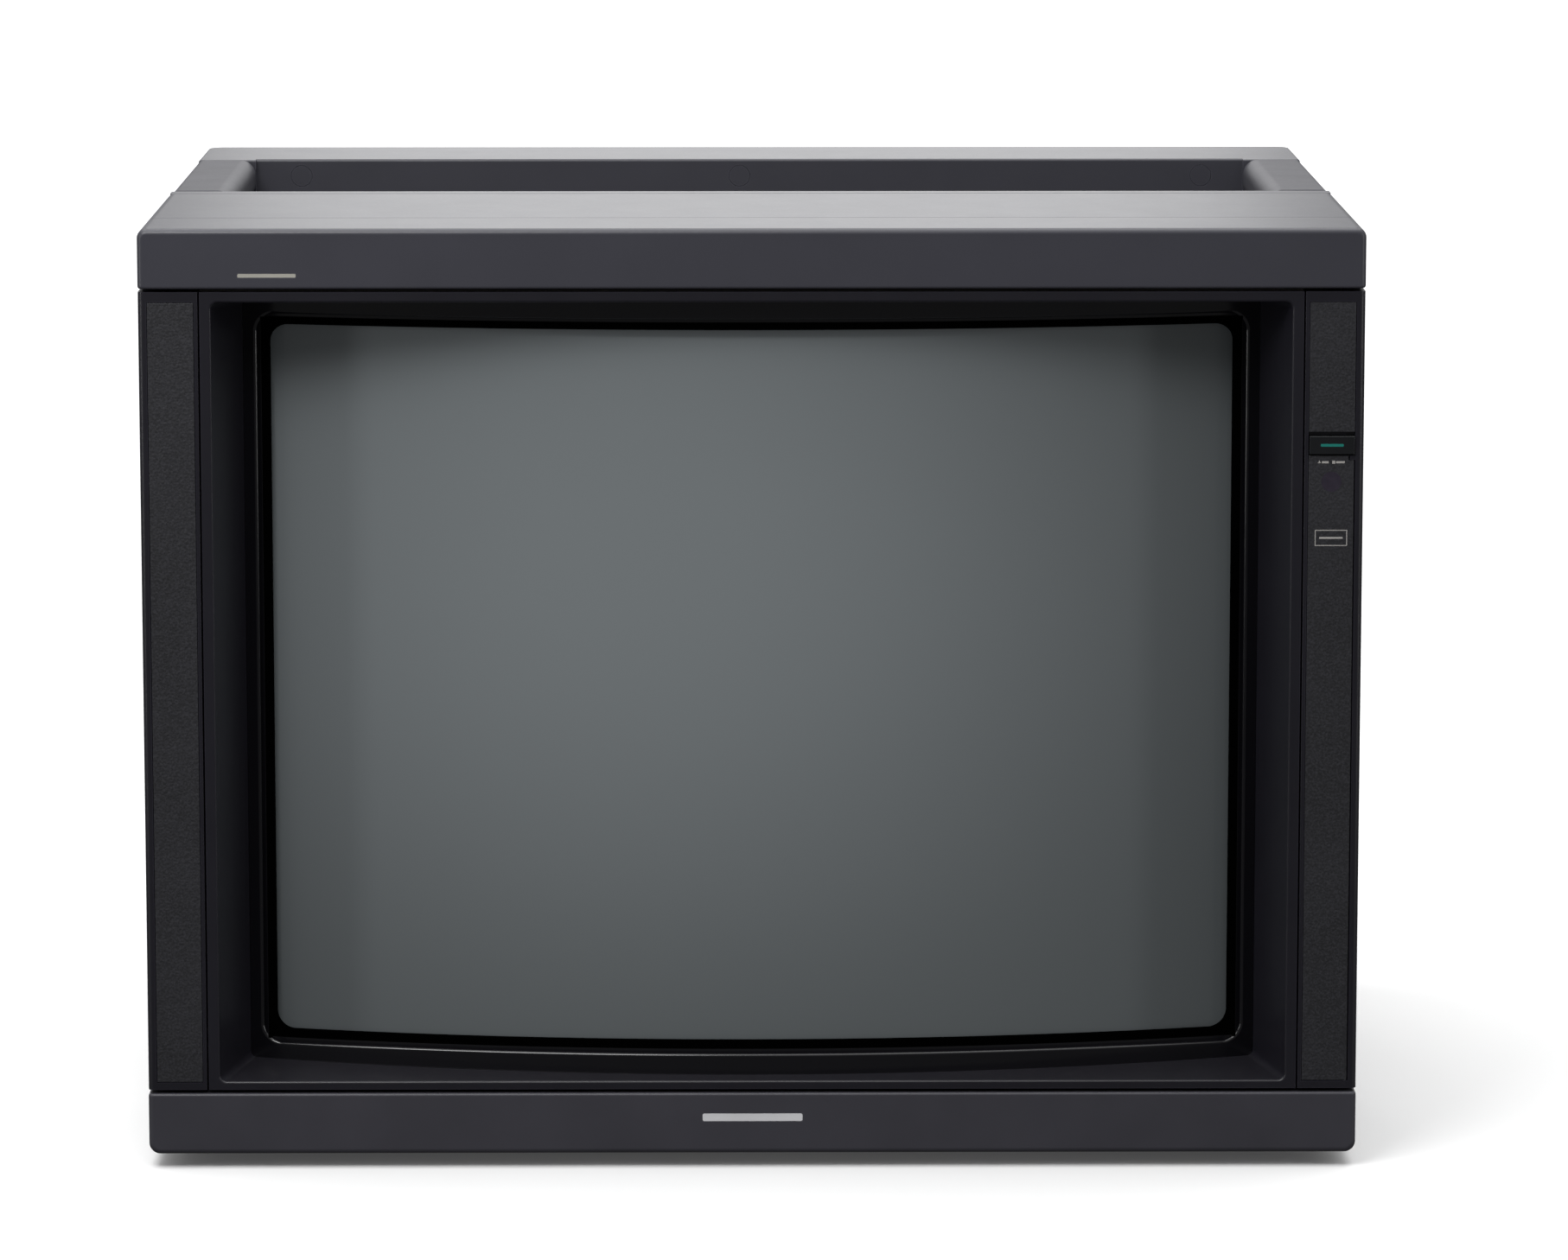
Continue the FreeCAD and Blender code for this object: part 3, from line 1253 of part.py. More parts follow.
cover_outer = taper("cover_outer", ("cover_front", "cover_back"),
                    both_sides("cover_half_width"), ("cover_bottom", "cover_top"),
                    both_sides("cover_back_half_width"), ("cover_bottom", "cover_back_top"))
cover_inner = taper("cover_inner", ("cover_front", "cover_back-shell_wall"),
                    both_sides("cover_half_width-shell_wall"),
                    ("cover_bottom+shell_wall", "cover_top-shell_wall"),
                    both_sides("cover_back_half_width-shell_wall"),
                    ("cover_bottom+shell_wall", "cover_back_top-shell_wall"))
collar_outer = block("collar_outer", both_sides("cover_half_width"),
                     ("cover_front-collar_depth", "cover_front"), ("cover_bottom", "cover_top"))
collar_inner = block("collar_inner", both_sides("cover_half_width-shell_wall"),
                     ("cover_front-collar_depth-1", "cover_front+0.01"),
                     ("cover_bottom+shell_wall", "cover_top-shell_wall"))
cover_cuts = [cover_inner, collar_inner]
cover_cuts.append(block("terminal_window", both_sides("terminal_width/2"),
                        ("cover_back-shell_wall-1", "cover_back+1"),
                        ("terminal_bottom", "terminal_top")))
# Vent slots run up the back wall and along the sloping top.
for count in range(SIZES["vent_count"]):
    across = "((%d-(vent_count-1)/2)*vent_pitch)" % count
    cover_cuts.append(block("back_vent", (across + "-vent_width/2", across + "+vent_width/2"),
                            ("cover_back-shell_wall-1", "cover_back+1"),
                            ("cover_back_top-vent_top_gap-vent_length", "cover_back_top-vent_top_gap")))
    cover_cuts.append(block("top_vent", (across + "-vent_width/2", across + "+vent_width/2"),
                            ("cover_back-top_vent_start-top_vent_length", "cover_back-top_vent_start"),
                            ("cover_back_top-shell_wall-5", "cover_top")))
node("rear_cover", carve("cover", join("cover_solid", cover_outer, collar_outer), *cover_cuts))

# Four screws in the rear face hold the back cover.
cover_screws = [turned("cover_screw", "y", (x, "cover_back", z),
                       [("0", "0"), ("cover_screw_radius", "0"),
                        ("cover_screw_radius-1", "cover_screw_height"),
                        ("0", "cover_screw_height")])
                for x in ("-cover_back_half_width+cover_screw_inset",
                          "cover_back_half_width-cover_screw_inset")
                for z in ("cover_bottom+2*cover_screw_inset", "cover_back_top-cover_screw_inset")]
node("cover_screws", group("cover_screw_set", *cover_screws))

# ---------------------------------------------------------------- terminals

terminal_plate = block("terminal_plate", both_sides("terminal_width/2-slip_fit"),
                       ("terminal_face-panel_sheet", "terminal_face"),
                       ("terminal_bottom+slip_fit", "terminal_top-slip_fit"))
THROUGH_PANEL = ("terminal_face-panel_sheet-1", "terminal_face+1")


def centred(middle, width, change="0"):
    """A span about a middle, made wider by twice the change."""
    return ("%s-(%s)/2-(%s)" % (middle, width, change), "%s+(%s)/2+(%s)" % (middle, width, change))


INLET_LEVEL = "terminal_bottom+inlet_level"
inlet_cut = block("inlet_cut", centred("-inlet_x", "inlet_width"), THROUGH_PANEL,
                  centred(INLET_LEVEL, "inlet_height"))
SWITCH_LEVEL = "terminal_bottom+line_switch_level"
switch_cut = block("switch_cut", ("line_switch_left", "line_switch_left+line_switch_slot"),
                   THROUGH_PANEL, centred(SWITCH_LEVEL, "line_switch_height"))
node("terminal_panel", carve("terminal_holes", terminal_plate, inlet_cut, switch_cut))


def jack(name, x, level):
    """A phono jack: a threaded-looking collar and a bored barrel."""
    barrel = turned(
        name, "y", (x, "terminal_face", "terminal_bottom+%d" % level),
        [("jack_bore_radius", "0"), ("jack_radius+jack_flange", "0"),
         ("jack_radius+jack_flange", "jack_flange_thick"), ("jack_radius", "jack_flange_thick"),
         ("jack_radius", "jack_length"), ("jack_bore_radius", "jack_length")])
    return barrel


JACK_LEVELS = (55, 35, 15)
JACK_COLUMNS = ("-70", "-45", "-20")


node("phono_jacks", group("phono_jack_set", *[
    jack("phono_jack", x, level) for level in JACK_LEVELS for x in JACK_COLUMNS]))

# Multi-pin connector for a computer or tuner, and four spring clips for loudspeakers.
connector = carve(
    "connector_shell",
    block("connector_block", ("connector_left", "connector_left+connector_width"),
          ("terminal_face", "terminal_face+connector_depth"),
          centred("terminal_bottom+connector_level", "connector_height")),
    block("connector_hollow",
          ("connector_left+connector_wall", "connector_left+connector_width-connector_wall"),
          ("terminal_face+2", "terminal_face+connector_depth+1"),
          centred("terminal_bottom+connector_level", "connector_height", "-connector_wall")))
node("multi_pin_connector", connector)
clips = []
for count in range(4):
    low = "clip_left+%d*clip_pitch" % count
    clips.append(carve(
        "clip_body",
        block("clip_block", (low, low + "+clip_width"), ("terminal_face", "terminal_face+clip_depth"),
              ("terminal_bottom+clip_bottom", "terminal_bottom+clip_bottom+clip_height")),
        rod("clip_hole", "y", "clip_hole_radius",
            (low + "+clip_width/2", "terminal_face+2", "terminal_bottom+clip_bottom+7"),
            "clip_depth")))
node("speaker_clips", group("clip_set", *clips))

# Mains inlet: a three-pin socket let into the panel.
inlet_body = block("inlet_body", centred("-inlet_x", "inlet_width", "-slip_fit"),
                   ("terminal_face-inlet_depth", "terminal_face+1"),
                   centred(INLET_LEVEL, "inlet_height", "-slip_fit"))
inlet_well = block("inlet_well", centred("-inlet_x", "inlet_width", "-slip_fit-inlet_wall"),
                   ("terminal_face-inlet_depth+3", "terminal_face+2"),
                   centred(INLET_LEVEL, "inlet_height", "-slip_fit-inlet_wall"))
inlet_pins = [block("inlet_pin", centred("-inlet_x" + shift, "2*pin_side"),
                    ("terminal_face-inlet_depth+2", "terminal_face-2"),
                    centred(INLET_LEVEL + rise, "pin_side"))
              for shift, rise in (("-inlet_width/4", "-3"), ("+inlet_width/4", "-3"), ("", "+4"))]
node("mains_inlet", join("inlet", carve("inlet_socket", inlet_body, inlet_well), *inlet_pins))

# Slide switch that ends the video line; its stem runs in the panel's slot.
STEM_X = ("line_switch_left+slip_fit", "line_switch_left+slip_fit+line_switch_stem")
node("line_switch", join(
    "line_switch_solid",
    block("line_switch_stem", STEM_X, ("terminal_face-panel_sheet-1", "terminal_face+panel_sheet"),
          centred(SWITCH_LEVEL, "line_switch_height", "-slip_fit")),
    block("line_switch_foot",
          ("line_switch_left-2", "line_switch_left+line_switch_stem+2"),
          ("terminal_face-2*panel_sheet", "terminal_face-panel_sheet-slip_fit"),
          centred(SWITCH_LEVEL, "line_switch_height", "1"))))

# ---------------------------------------------------------------- check and write

doc.recompute()
for feature in doc.Objects:
    if "Invalid" in feature.State or "Error" in feature.State:
        raise RuntimeError("%s failed: %s" % (feature.Name, feature.State))
for name, feature in NODES.items():
    if feature.Shape.isNull() or not feature.Shape.isValid():
        raise RuntimeError(name + " has no valid shape")
os.makedirs("parts", exist_ok=True)
for name, feature in NODES.items():
    feature.Shape.exportStep(os.path.join("parts", name + ".step"))
print("%d pieces written" % len(NODES))
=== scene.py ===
# %% [markdown]
# # A television monitor with a cylinder-faced picture tube
#
# The real thing is a charcoal plastic cabinet: a wide hood, a deep bezel that slopes in to
# the tube, two grained side strips, and a carrying frame round an open well at the top.
# The frame, its sizes and its moving parts come from CAD and stay as they are. This lesson
# gives every surface a finish, and models the soft, small and shaped pieces that CAD left plain.

# %% Load the frame
import json
import math

import bmesh
import bpy
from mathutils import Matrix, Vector


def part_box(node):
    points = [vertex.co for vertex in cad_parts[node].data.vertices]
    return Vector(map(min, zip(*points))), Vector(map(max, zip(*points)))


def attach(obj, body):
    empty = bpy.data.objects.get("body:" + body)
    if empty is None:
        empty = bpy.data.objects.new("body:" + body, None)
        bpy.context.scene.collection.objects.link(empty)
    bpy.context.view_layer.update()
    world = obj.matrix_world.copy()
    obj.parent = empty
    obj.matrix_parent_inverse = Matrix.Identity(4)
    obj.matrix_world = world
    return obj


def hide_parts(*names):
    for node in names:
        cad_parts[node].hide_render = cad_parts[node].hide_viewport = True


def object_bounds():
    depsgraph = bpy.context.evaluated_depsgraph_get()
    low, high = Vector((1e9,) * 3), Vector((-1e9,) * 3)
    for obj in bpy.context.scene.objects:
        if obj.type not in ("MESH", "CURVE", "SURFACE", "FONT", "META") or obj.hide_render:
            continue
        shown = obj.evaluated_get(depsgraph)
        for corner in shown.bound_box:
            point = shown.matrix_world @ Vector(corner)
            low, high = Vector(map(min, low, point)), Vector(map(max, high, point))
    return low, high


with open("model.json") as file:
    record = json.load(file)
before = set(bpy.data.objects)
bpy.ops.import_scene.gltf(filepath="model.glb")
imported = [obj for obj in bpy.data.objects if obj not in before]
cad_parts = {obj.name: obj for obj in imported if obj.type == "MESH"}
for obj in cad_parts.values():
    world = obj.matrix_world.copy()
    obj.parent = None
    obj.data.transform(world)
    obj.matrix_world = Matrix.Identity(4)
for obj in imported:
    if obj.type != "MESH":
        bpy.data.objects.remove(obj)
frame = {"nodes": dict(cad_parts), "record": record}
cad_low, cad_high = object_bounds()
NODES = frame["nodes"]
MM = 0.001
print("frame box", [round(value, 4) for value in (*cad_low, *cad_high)])

# %% [markdown]
# ## The camera and the room
#
# The set stands on a seamless pale table in a studio. A studio for dark glossy things is built
# from what they mirror: a bright ceiling and back wall, and a dim wall behind the camera. Real
# walls and cards could do it, but a world whose brightness depends on direction does the same
# with no noise. The key light is up on the left, near enough to fade toward the floor. Two
# upright strips draw the thin lines down the edges, a strip by the table lights the undersides,
# and a soft light behind gives the top its pale shine. The table is bright for the camera but
# hidden from the bounces, as a real one would be masked with black card. The camera is a long
# lens a few metres away and a little above the set, so the sides hardly show.

# %% Camera
FRONT = cad_low.y
EYE = Vector((-0.0122, FRONT - 3.700, 0.868))
AIM = Vector((0.0169, FRONT, 0.2935))
LENS = 161.4


def add_camera():
    """A long lens that looks slightly down on the front."""
    data = bpy.data.cameras.new("studio_camera")
    data.lens = LENS
    data.sensor_width = 36.0
    data.clip_end = 100.0
    camera = bpy.data.objects.new("studio_camera", data)
    bpy.context.scene.collection.objects.link(camera)
    camera.location = EYE
    camera.rotation_euler = (AIM - EYE).to_track_quat("-Z", "Y").to_euler()
    bpy.context.scene.camera = camera
    return camera


add_camera()
print("camera distance", round((AIM - EYE).length, 3))

# %% [markdown]
# ## Helpers that every step shares
#
# Each new piece here starts as a plain cube, disc, ring or sheet. Its place, turn and size could
# stay on the object, but then every copy would carry a hidden scale. So they are put into the
# mesh at once, which leaves the object at the origin like the CAD pieces it sits among.
# None carries texture coordinates, since every finish here is placed in true millimetres.

# %% Small helpers for operators


def only(*objects):
    """Select just these objects, the first one active."""
    bpy.ops.object.select_all(action="DESELECT")
    for item in objects:
        item.select_set(True)
    bpy.context.view_layer.objects.active = objects[0]


def named(name):
    """Name the object that an operator has just added, and its mesh."""
    piece = bpy.context.object
    piece.name = name
    piece.data.name = name
    return piece


def settle(piece):
    """Put the piece's place, turn and scale into its mesh."""
    only(piece)
    bpy.ops.object.transform_apply(location=True, rotation=True, scale=True)
    return piece


def apply_all(piece):
    """Apply the modifiers in order, so the mesh is the final shape."""
    only(piece)
    for modifier in list(piece.modifiers):
        bpy.ops.object.modifier_apply(modifier=modifier.name)
    return piece


def smooth(piece, degrees=35):
    """Shade smooth across gentle angles and crisp across sharp ones."""
    only(piece)
    bpy.ops.object.shade_smooth_by_angle(angle=math.radians(degrees))
    return piece


def pick_faces(piece, test):
    """In edit mode, select just the faces whose centre and normal pass the test."""
    mesh = bmesh.from_edit_mesh(piece.data)
    for face in mesh.faces:
        face.select = False
    for face in mesh.faces:
        face.select = test(face.calc_center_median(), face.normal)
    mesh.select_flush_mode()
    bmesh.update_edit_mesh(piece.data)
    return sum(face.select for face in mesh.faces)

# %% Table


def add_table():
    """A seamless white table top that glows a little more the farther it is from the set."""
    bpy.ops.object.select_all(action="DESELECT")
    bpy.ops.mesh.primitive_plane_add(size=80.0, location=(0, 0, 0))
    table = settle(named("table"))
    material = bpy.data.materials.new("table_white")
    material.use_nodes = True
    surface = material.node_tree.nodes["Principled BSDF"]
    surface.inputs["Base Color"].default_value = (0.93, 0.93, 0.93, 1)
    surface.inputs["Roughness"].default_value = 0.75
    surface.inputs["Specular IOR Level"].default_value = 0.2
    surface.inputs["Emission Color"].default_value = (1.0, 1.0, 1.0, 1)
    tree = material.node_tree
    distance = tree.nodes.new("ShaderNodeVectorMath")
    distance.operation = "LENGTH"
    tree.links.new(tree.nodes.new("ShaderNodeTexCoord").outputs["Object"], distance.inputs[0])
    glow = tree.nodes.new("ShaderNodeMapRange")
    for socket, value in (("From Min", 0.8), ("From Max", 5.0), ("To Min", 0.05), ("To Max", 0.6)):
        glow.inputs[socket].default_value = value
    tree.links.new(distance.outputs["Value"], glow.inputs["Value"])
    tree.links.new(glow.outputs["Result"], surface.inputs["Emission Strength"])
    table.data.materials.append(material)
    table.visible_glossy = False
    table.visible_diffuse = False
    return table

# %% Softboxes


def add_softbox(name, place, aim, width, height, power):
    """A rectangular studio light."""
    data = bpy.data.lights.new(name, "AREA")
    data.shape = "RECTANGLE"
    data.size = width
    data.size_y = height
    data.energy = power
    light = bpy.data.objects.new(name, data)
    bpy.context.scene.collection.objects.link(light)
    light.location = place
    light.rotation_euler = (Vector(aim) - Vector(place)).to_track_quat("-Z", "Y").to_euler()
    return light

# %% A room of light


def add_world(overhead, front, back, below):
    """A white room whose brightness depends on the direction looked in."""
    world = bpy.data.worlds.new("white_room")
    world.use_nodes = True
    bpy.context.scene.world = world
    tree = world.node_tree
    background = tree.nodes["Background"]
    background.inputs["Color"].default_value = (1.0, 1.0, 1.0, 1)
    split = tree.nodes.new("ShaderNodeSeparateXYZ")
    tree.links.new(tree.nodes.new("ShaderNodeTexCoord").outputs["Generated"], split.inputs[0])

    def blend(value, low, high, dark, bright):
        item = tree.nodes.new("ShaderNodeMapRange")
        item.interpolation_type = "SMOOTHSTEP"
        item.inputs["From Min"].default_value = low
        item.inputs["From Max"].default_value = high
        for socket, level in (("To Min", dark), ("To Max", bright)):
            if isinstance(level, float):
                item.inputs[socket].default_value = level
            else:
                tree.links.new(level, item.inputs[socket])
        tree.links.new(value, item.inputs["Value"])
        return item.outputs["Result"]

    walls = blend(split.outputs["Y"], -0.5, 0.6, front, back)
    room = blend(split.outputs["Z"], 0.35, 0.9, walls, overhead)
    whole = blend(split.outputs["Z"], -0.10, 0.06, below, room)
    tree.links.new(whole, background.inputs["Strength"])

# %% Set up the studio
add_table()
add_world(overhead=1.12, front=0.12, back=0.47, below=0.09)
add_softbox("overhead", (0, 0.2, 2.6), (0, 0, 0.3), 3.0, 2.2, 45)
add_softbox("key", (-0.50, -1.15, 1.35), (0, -0.2, 0.45), 0.8, 0.5, 11)
add_softbox("left_strip", (-2.0, -1.3, 0.60), (0, -0.25, 0.28), 0.25, 1.2, 7)
add_softbox("right_strip", (2.0, -1.3, 0.60), (0, -0.25, 0.28), 0.25, 1.2, 6)
fill = add_softbox("floor_fill", (0.0, -0.95, 0.02), (0, -0.60, 0.5), 0.8, 0.05, 0.9)
fill.visible_glossy = False
add_softbox("rear", (0.0, 2.6, 1.25), (0, 0, 0.5), 1.0, 1.1, 5.7)
bpy.context.scene.view_settings.view_transform = "Standard"
print("table and lights are in")

# %% [markdown]
# ## Building materials from nodes
#
# Moulded plastic is never one flat colour. The mould was spark-eroded, so the skin has a fine
# grain that breaks up reflections; handling polishes some areas and edges; dust settles on
# what faces up. A painted image could show all that, but it would need a picture file and
# would stretch. Noise in Object coordinates has a true scale in millimetres, so each finish is
# a few noise textures wired to colour, roughness and bump.

# %% A small workbench for node trees


class Finish:
    """A material with a Principled surface and helpers to wire nodes to it."""

    def __init__(self, name, colour, roughness, metallic=0.0):
        self.material = bpy.data.materials.new(name)
        self.material.use_nodes = True
        self.tree = self.material.node_tree
        self.surface = self.tree.nodes["Principled BSDF"]
        self.surface.inputs["Base Color"].default_value = (*colour, 1)
        self.surface.inputs["Roughness"].default_value = roughness
        self.surface.inputs["Metallic"].default_value = metallic
        self.colour = colour
        self.place = self.node("ShaderNodeTexCoord").outputs["Object"]
        self.normal = None

    def node(self, kind, **settings):
        """Add a node; settings name its properties or its input sockets."""
        item = self.tree.nodes.new(kind)
        for key, value in settings.items():
            socket = item.inputs.get(key.replace("_", " ").title()) if key[0].islower() else None
            if hasattr(item, key):
                setattr(item, key, value)
            elif socket is not None:
                socket.default_value = value
            else:
                raise KeyError(key)
        return item

    def link(self, start, end):
        self.tree.links.new(start, end)

    def noise(self, size_mm, detail=3.0, roughness=0.55, stretch=(1, 1, 1)):
        """Noise whose blotches are about this many millimetres across."""
        mapping = self.node("ShaderNodeMapping")
        mapping.inputs["Scale"].default_value = stretch
        self.link(self.place, mapping.inputs["Vector"])
        texture = self.node("ShaderNodeTexNoise", scale=1 / (size_mm * MM), detail=detail,
                            roughness=roughness)
        self.link(mapping.outputs["Vector"], texture.inputs["Vector"])
        return texture.outputs["Fac"]

    def cells(self, size_mm, stretch=(1, 1, 1)):
        """Rounded cells of about this size, like the pits of a grained mould."""
        mapping = self.node("ShaderNodeMapping")
        mapping.inputs["Scale"].default_value = stretch
        self.link(self.place, mapping.inputs["Vector"])
        texture = self.node("ShaderNodeTexVoronoi", feature="SMOOTH_F1", scale=1 / (size_mm * MM))
        self.link(mapping.outputs["Vector"], texture.inputs["Vector"])
        return texture.outputs["Distance"]

    def remap(self, value, low, high, to_low, to_high):
        """Stretch a range of values to another, clamped at its ends."""
        item = self.node("ShaderNodeMapRange", clamp=True)
        item.inputs["From Min"].default_value = low
        item.inputs["From Max"].default_value = high
        item.inputs["To Min"].default_value = to_low
        item.inputs["To Max"].default_value = to_high
        self.link(value, item.inputs["Value"])
        return item.outputs["Result"]

    def mix(self, factor, first, second):
        """Blend two colours; each is a colour or another node's output."""
        item = self.node("ShaderNodeMix", data_type="RGBA")
        self.link(factor, item.inputs["Factor"])
        for value, socket in ((first, item.inputs["A"]), (second, item.inputs["B"])):
            for candidate in item.inputs:
                if candidate.name == socket.name and candidate.type == "RGBA":
                    socket = candidate
            if isinstance(value, tuple):
                socket.default_value = (*value, 1)
            else:
                self.link(value, socket)
        return next(out for out in item.outputs if out.type == "RGBA")

    def times(self, first, second):
        """Multiply two values."""
        item = self.node("ShaderNodeMath", operation="MULTIPLY")
        for value, socket in zip((first, second), item.inputs):
            if isinstance(value, (int, float)):
                socket.default_value = value
            else:
                self.link(value, socket)
        return item.outputs["Value"]

    def bump(self, height, depth_mm, strength=1.0):
        """Raise the surface by a height texture, stacked on earlier bumps."""
        item = self.node("ShaderNodeBump", strength=strength, distance=depth_mm * MM)
        self.link(height, item.inputs["Height"])
        if self.normal is not None:
            self.link(self.normal, item.inputs["Normal"])
        self.normal = item.outputs["Normal"]
        self.link(self.normal, self.surface.inputs["Normal"])

    def edge_mask(self, radius_mm):
        """One along sharp outer edges, zero elsewhere: a rounded normal against the true one."""
        bevel = self.node("ShaderNodeBevel", samples=4)
        bevel.inputs["Radius"].default_value = radius_mm * MM
        geometry = self.node("ShaderNodeNewGeometry")
        compare = self.node("ShaderNodeVectorMath", operation="DOT_PRODUCT")
        self.link(bevel.outputs["Normal"], compare.inputs[0])
        self.link(geometry.outputs["Normal"], compare.inputs[1])
        return self.remap(compare.outputs["Value"], 0.98, 0.80, 0.0, 1.0)

    def up_mask(self):
        """One on faces that look up, where dust settles."""
        geometry = self.node("ShaderNodeNewGeometry")
        split = self.node("ShaderNodeSeparateXYZ")
        self.link(geometry.outputs["Normal"], split.inputs[0])
        return self.remap(split.outputs["Z"], 0.7, 0.98, 0.0, 1.0)

    def paint(self, colour):
        """Send a colour output to the surface."""
        self.link(colour, self.surface.inputs["Base Color"])

    def rough(self, value):
        """Send a roughness output to the surface."""
        self.link(value, self.surface.inputs["Roughness"])


def shade(colour, factor):
    """The colour made lighter or darker."""
    return tuple(min(1.0, channel * factor) for channel in colour)

# %% [markdown]
# ## Moulded plastics
#
# The cabinet uses four skins: fine-grained charcoal on the outside, a smoother near-black on
# the bezel's walls, a coarse grain on the side strips, and plain matt black round the tube.
# They could be four separate node trees, but they differ only in grain, colour and polish, so
# one recipe takes those as values. Lighter outer edges stand for wear and are also a painted
# highlight along each edge, and dust greys the top.

# %% Plastic recipe


def plastic(name, colour, roughness, grain_mm, grain_depth, edge=0.0, dust=0.0, pits=False,
            mottle=0.10, unevenness=0.02, speckle=0.0):
    """A moulded skin: mottled colour, uneven polish, grain, edges lightened for wear and as a
    painted highlight, and dust.
    """
    finish = Finish(name, colour, roughness)
    blotches = finish.noise(60, detail=3)
    skin = finish.mix(finish.remap(blotches, 0.3, 0.7, 0, 1),
                      shade(colour, 1 - mottle), shade(colour, 1 + mottle))
    if speckle:
        fleck = finish.remap(finish.noise(grain_mm * 0.8, detail=1), 0.40, 0.66, 0, 1)
        skin = finish.mix(finish.times(fleck, speckle), skin, shade(colour, 3.0))
    if dust:
        settled = finish.remap(finish.noise(2.5, detail=6, roughness=0.7), 0.50, 0.72, 0.25, 1)
        layer = finish.times(finish.times(finish.up_mask(), settled), dust)
        skin = finish.mix(layer, skin, (0.42, 0.41, 0.39))
    if edge:
        # Lighter outer edges: partly wear, partly a painted highlight where an edge would catch
        # the light.
        edge_wear_and_highlight = finish.times(finish.edge_mask(0.8), edge)
        skin = finish.mix(edge_wear_and_highlight, skin, shade(colour, 3.0))
    finish.paint(skin)
    polish = finish.noise(25, detail=5, roughness=0.6)
    finish.rough(finish.remap(polish, 0.3, 0.7, roughness - unevenness, roughness + unevenness))
    grain = finish.cells(grain_mm) if pits else finish.noise(grain_mm, detail=2)
    finish.bump(grain, grain_depth)
    return finish.material


CHARCOAL = (0.043, 0.043, 0.054)
NEAR_BLACK = (0.0088, 0.0082, 0.0125)
hood_skin = plastic("charcoal_hood", CHARCOAL, 0.38, 0.9, 0.03, edge=0.5, dust=0.08,
                    mottle=0.05, unevenness=0.008)
frame_skin = plastic("charcoal_frame", shade(CHARCOAL, 0.88), 0.54, 0.9, 0.04, edge=0.5, dust=0.06)
bar_skin = plastic("charcoal_bar", (0.042, 0.041, 0.051), 0.45, 0.9, 0.03, edge=0.4)
bezel_skin = plastic("bezel_black", NEAR_BLACK, 0.38, 0.7, 0.015, edge=0.8, dust=0.03)
insert_skin = plastic("grained_insert", (0.0125, 0.0125, 0.0150), 0.55, 1.3, 0.16, edge=0.3,
                      pits=True, mottle=0.2, speckle=0.45)
button_skin = plastic("button_black", (0.0065, 0.0072, 0.0085), 0.34, 0.4, 0.01, edge=0.4)
cover_skin = plastic("textured_cover", (0.017, 0.017, 0.018), 0.6, 1.6, 0.10, pits=True,
                     dust=0.15)
knob_skin = plastic("knob_black", (0.012, 0.012, 0.012), 0.3, 0.4, 0.01, edge=0.6)
panel_skin = plastic("panel_black", (0.02, 0.02, 0.02), 0.5, 0.8, 0.02, edge=0.4)
nylon_skin = plastic("natural_nylon", (0.62, 0.58, 0.47), 0.45, 0.8, 0.02)
print("plastics", len(bpy.data.materials))

# %% [markdown]
# ## The mask round the screen
#
# A black plastic ring fills the gap between bezel and tube. Its raised crest is polished by the
# mould. The slope inside it is dull, so that it doesn't mirror the picture, and it is also made
# darker than black plastic, with no shine at all, as painted shade for the shadow inside the
# crest.
# It could be two objects, but it is one moulding. One finish that changes at the crest's inner
# edge keeps it so.

# %% Mask finish
CREST_HALF_WIDTH = 263.5 * MM
CREST_HALF_HEIGHT = 197.4 * MM


def mask_finish():
    """Glossy crest outside; inside, dull black made darker and shineless as painted shade; split
    at the crest's inner edge.
    """
    finish = Finish("screen_mask", (0.002, 0.002, 0.002), 0.9)
    crest_low, crest_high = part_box("screen_mask")
    middle_z = (crest_low.z + crest_high.z) / 2
    split = finish.node("ShaderNodeSeparateXYZ")
    finish.link(finish.place, split.inputs[0])

    def beyond(value, centre, limit):
        offset = finish.node("ShaderNodeMath", operation="SUBTRACT")
        finish.link(value, offset.inputs[0])
        offset.inputs[1].default_value = centre
        size = finish.node("ShaderNodeMath", operation="ABSOLUTE")
        finish.link(offset.outputs[0], size.inputs[0])
        return finish.remap(size.outputs[0], limit - 0.2 * MM, limit + 0.2 * MM, 0.0, 1.0)

    larger = finish.node("ShaderNodeMath", operation="MAXIMUM")
    finish.link(beyond(split.outputs["X"], 0.0, CREST_HALF_WIDTH), larger.inputs[0])
    finish.link(beyond(split.outputs["Z"], middle_z, CREST_HALF_HEIGHT), larger.inputs[1])
    crest = larger.outputs[0]
    # Inside the crest the near-zero colour and zero specular are painted shade on top of real
    # black plastic.
    finish.paint(finish.mix(crest, (0.0006, 0.0006, 0.0006), (0.0030, 0.0028, 0.0042)))
    finish.rough(finish.remap(crest, 0, 1, 0.95, 0.15))
    finish.link(finish.remap(crest, 0, 1, 0.0, 0.65),
                finish.surface.inputs["Specular IOR Level"])
    return finish.material


mask_skin = mask_finish()
print("mask finish ready")

# %% [markdown]
# ## The screen
#
# The tube's face is thick grey-tinted glass with a pale phosphor layer behind it and a fine
# grille of upright slots. Switched off, it looks like a grey-green sheet with a polished skin.
# It could be clear glass over a second mesh, but light would have to cross it many times. A
# diffuse body under a clear coat gives the same two layers at once: soft colour from the
# phosphor, and sharp reflections from the polished front.

# %% Screen glass


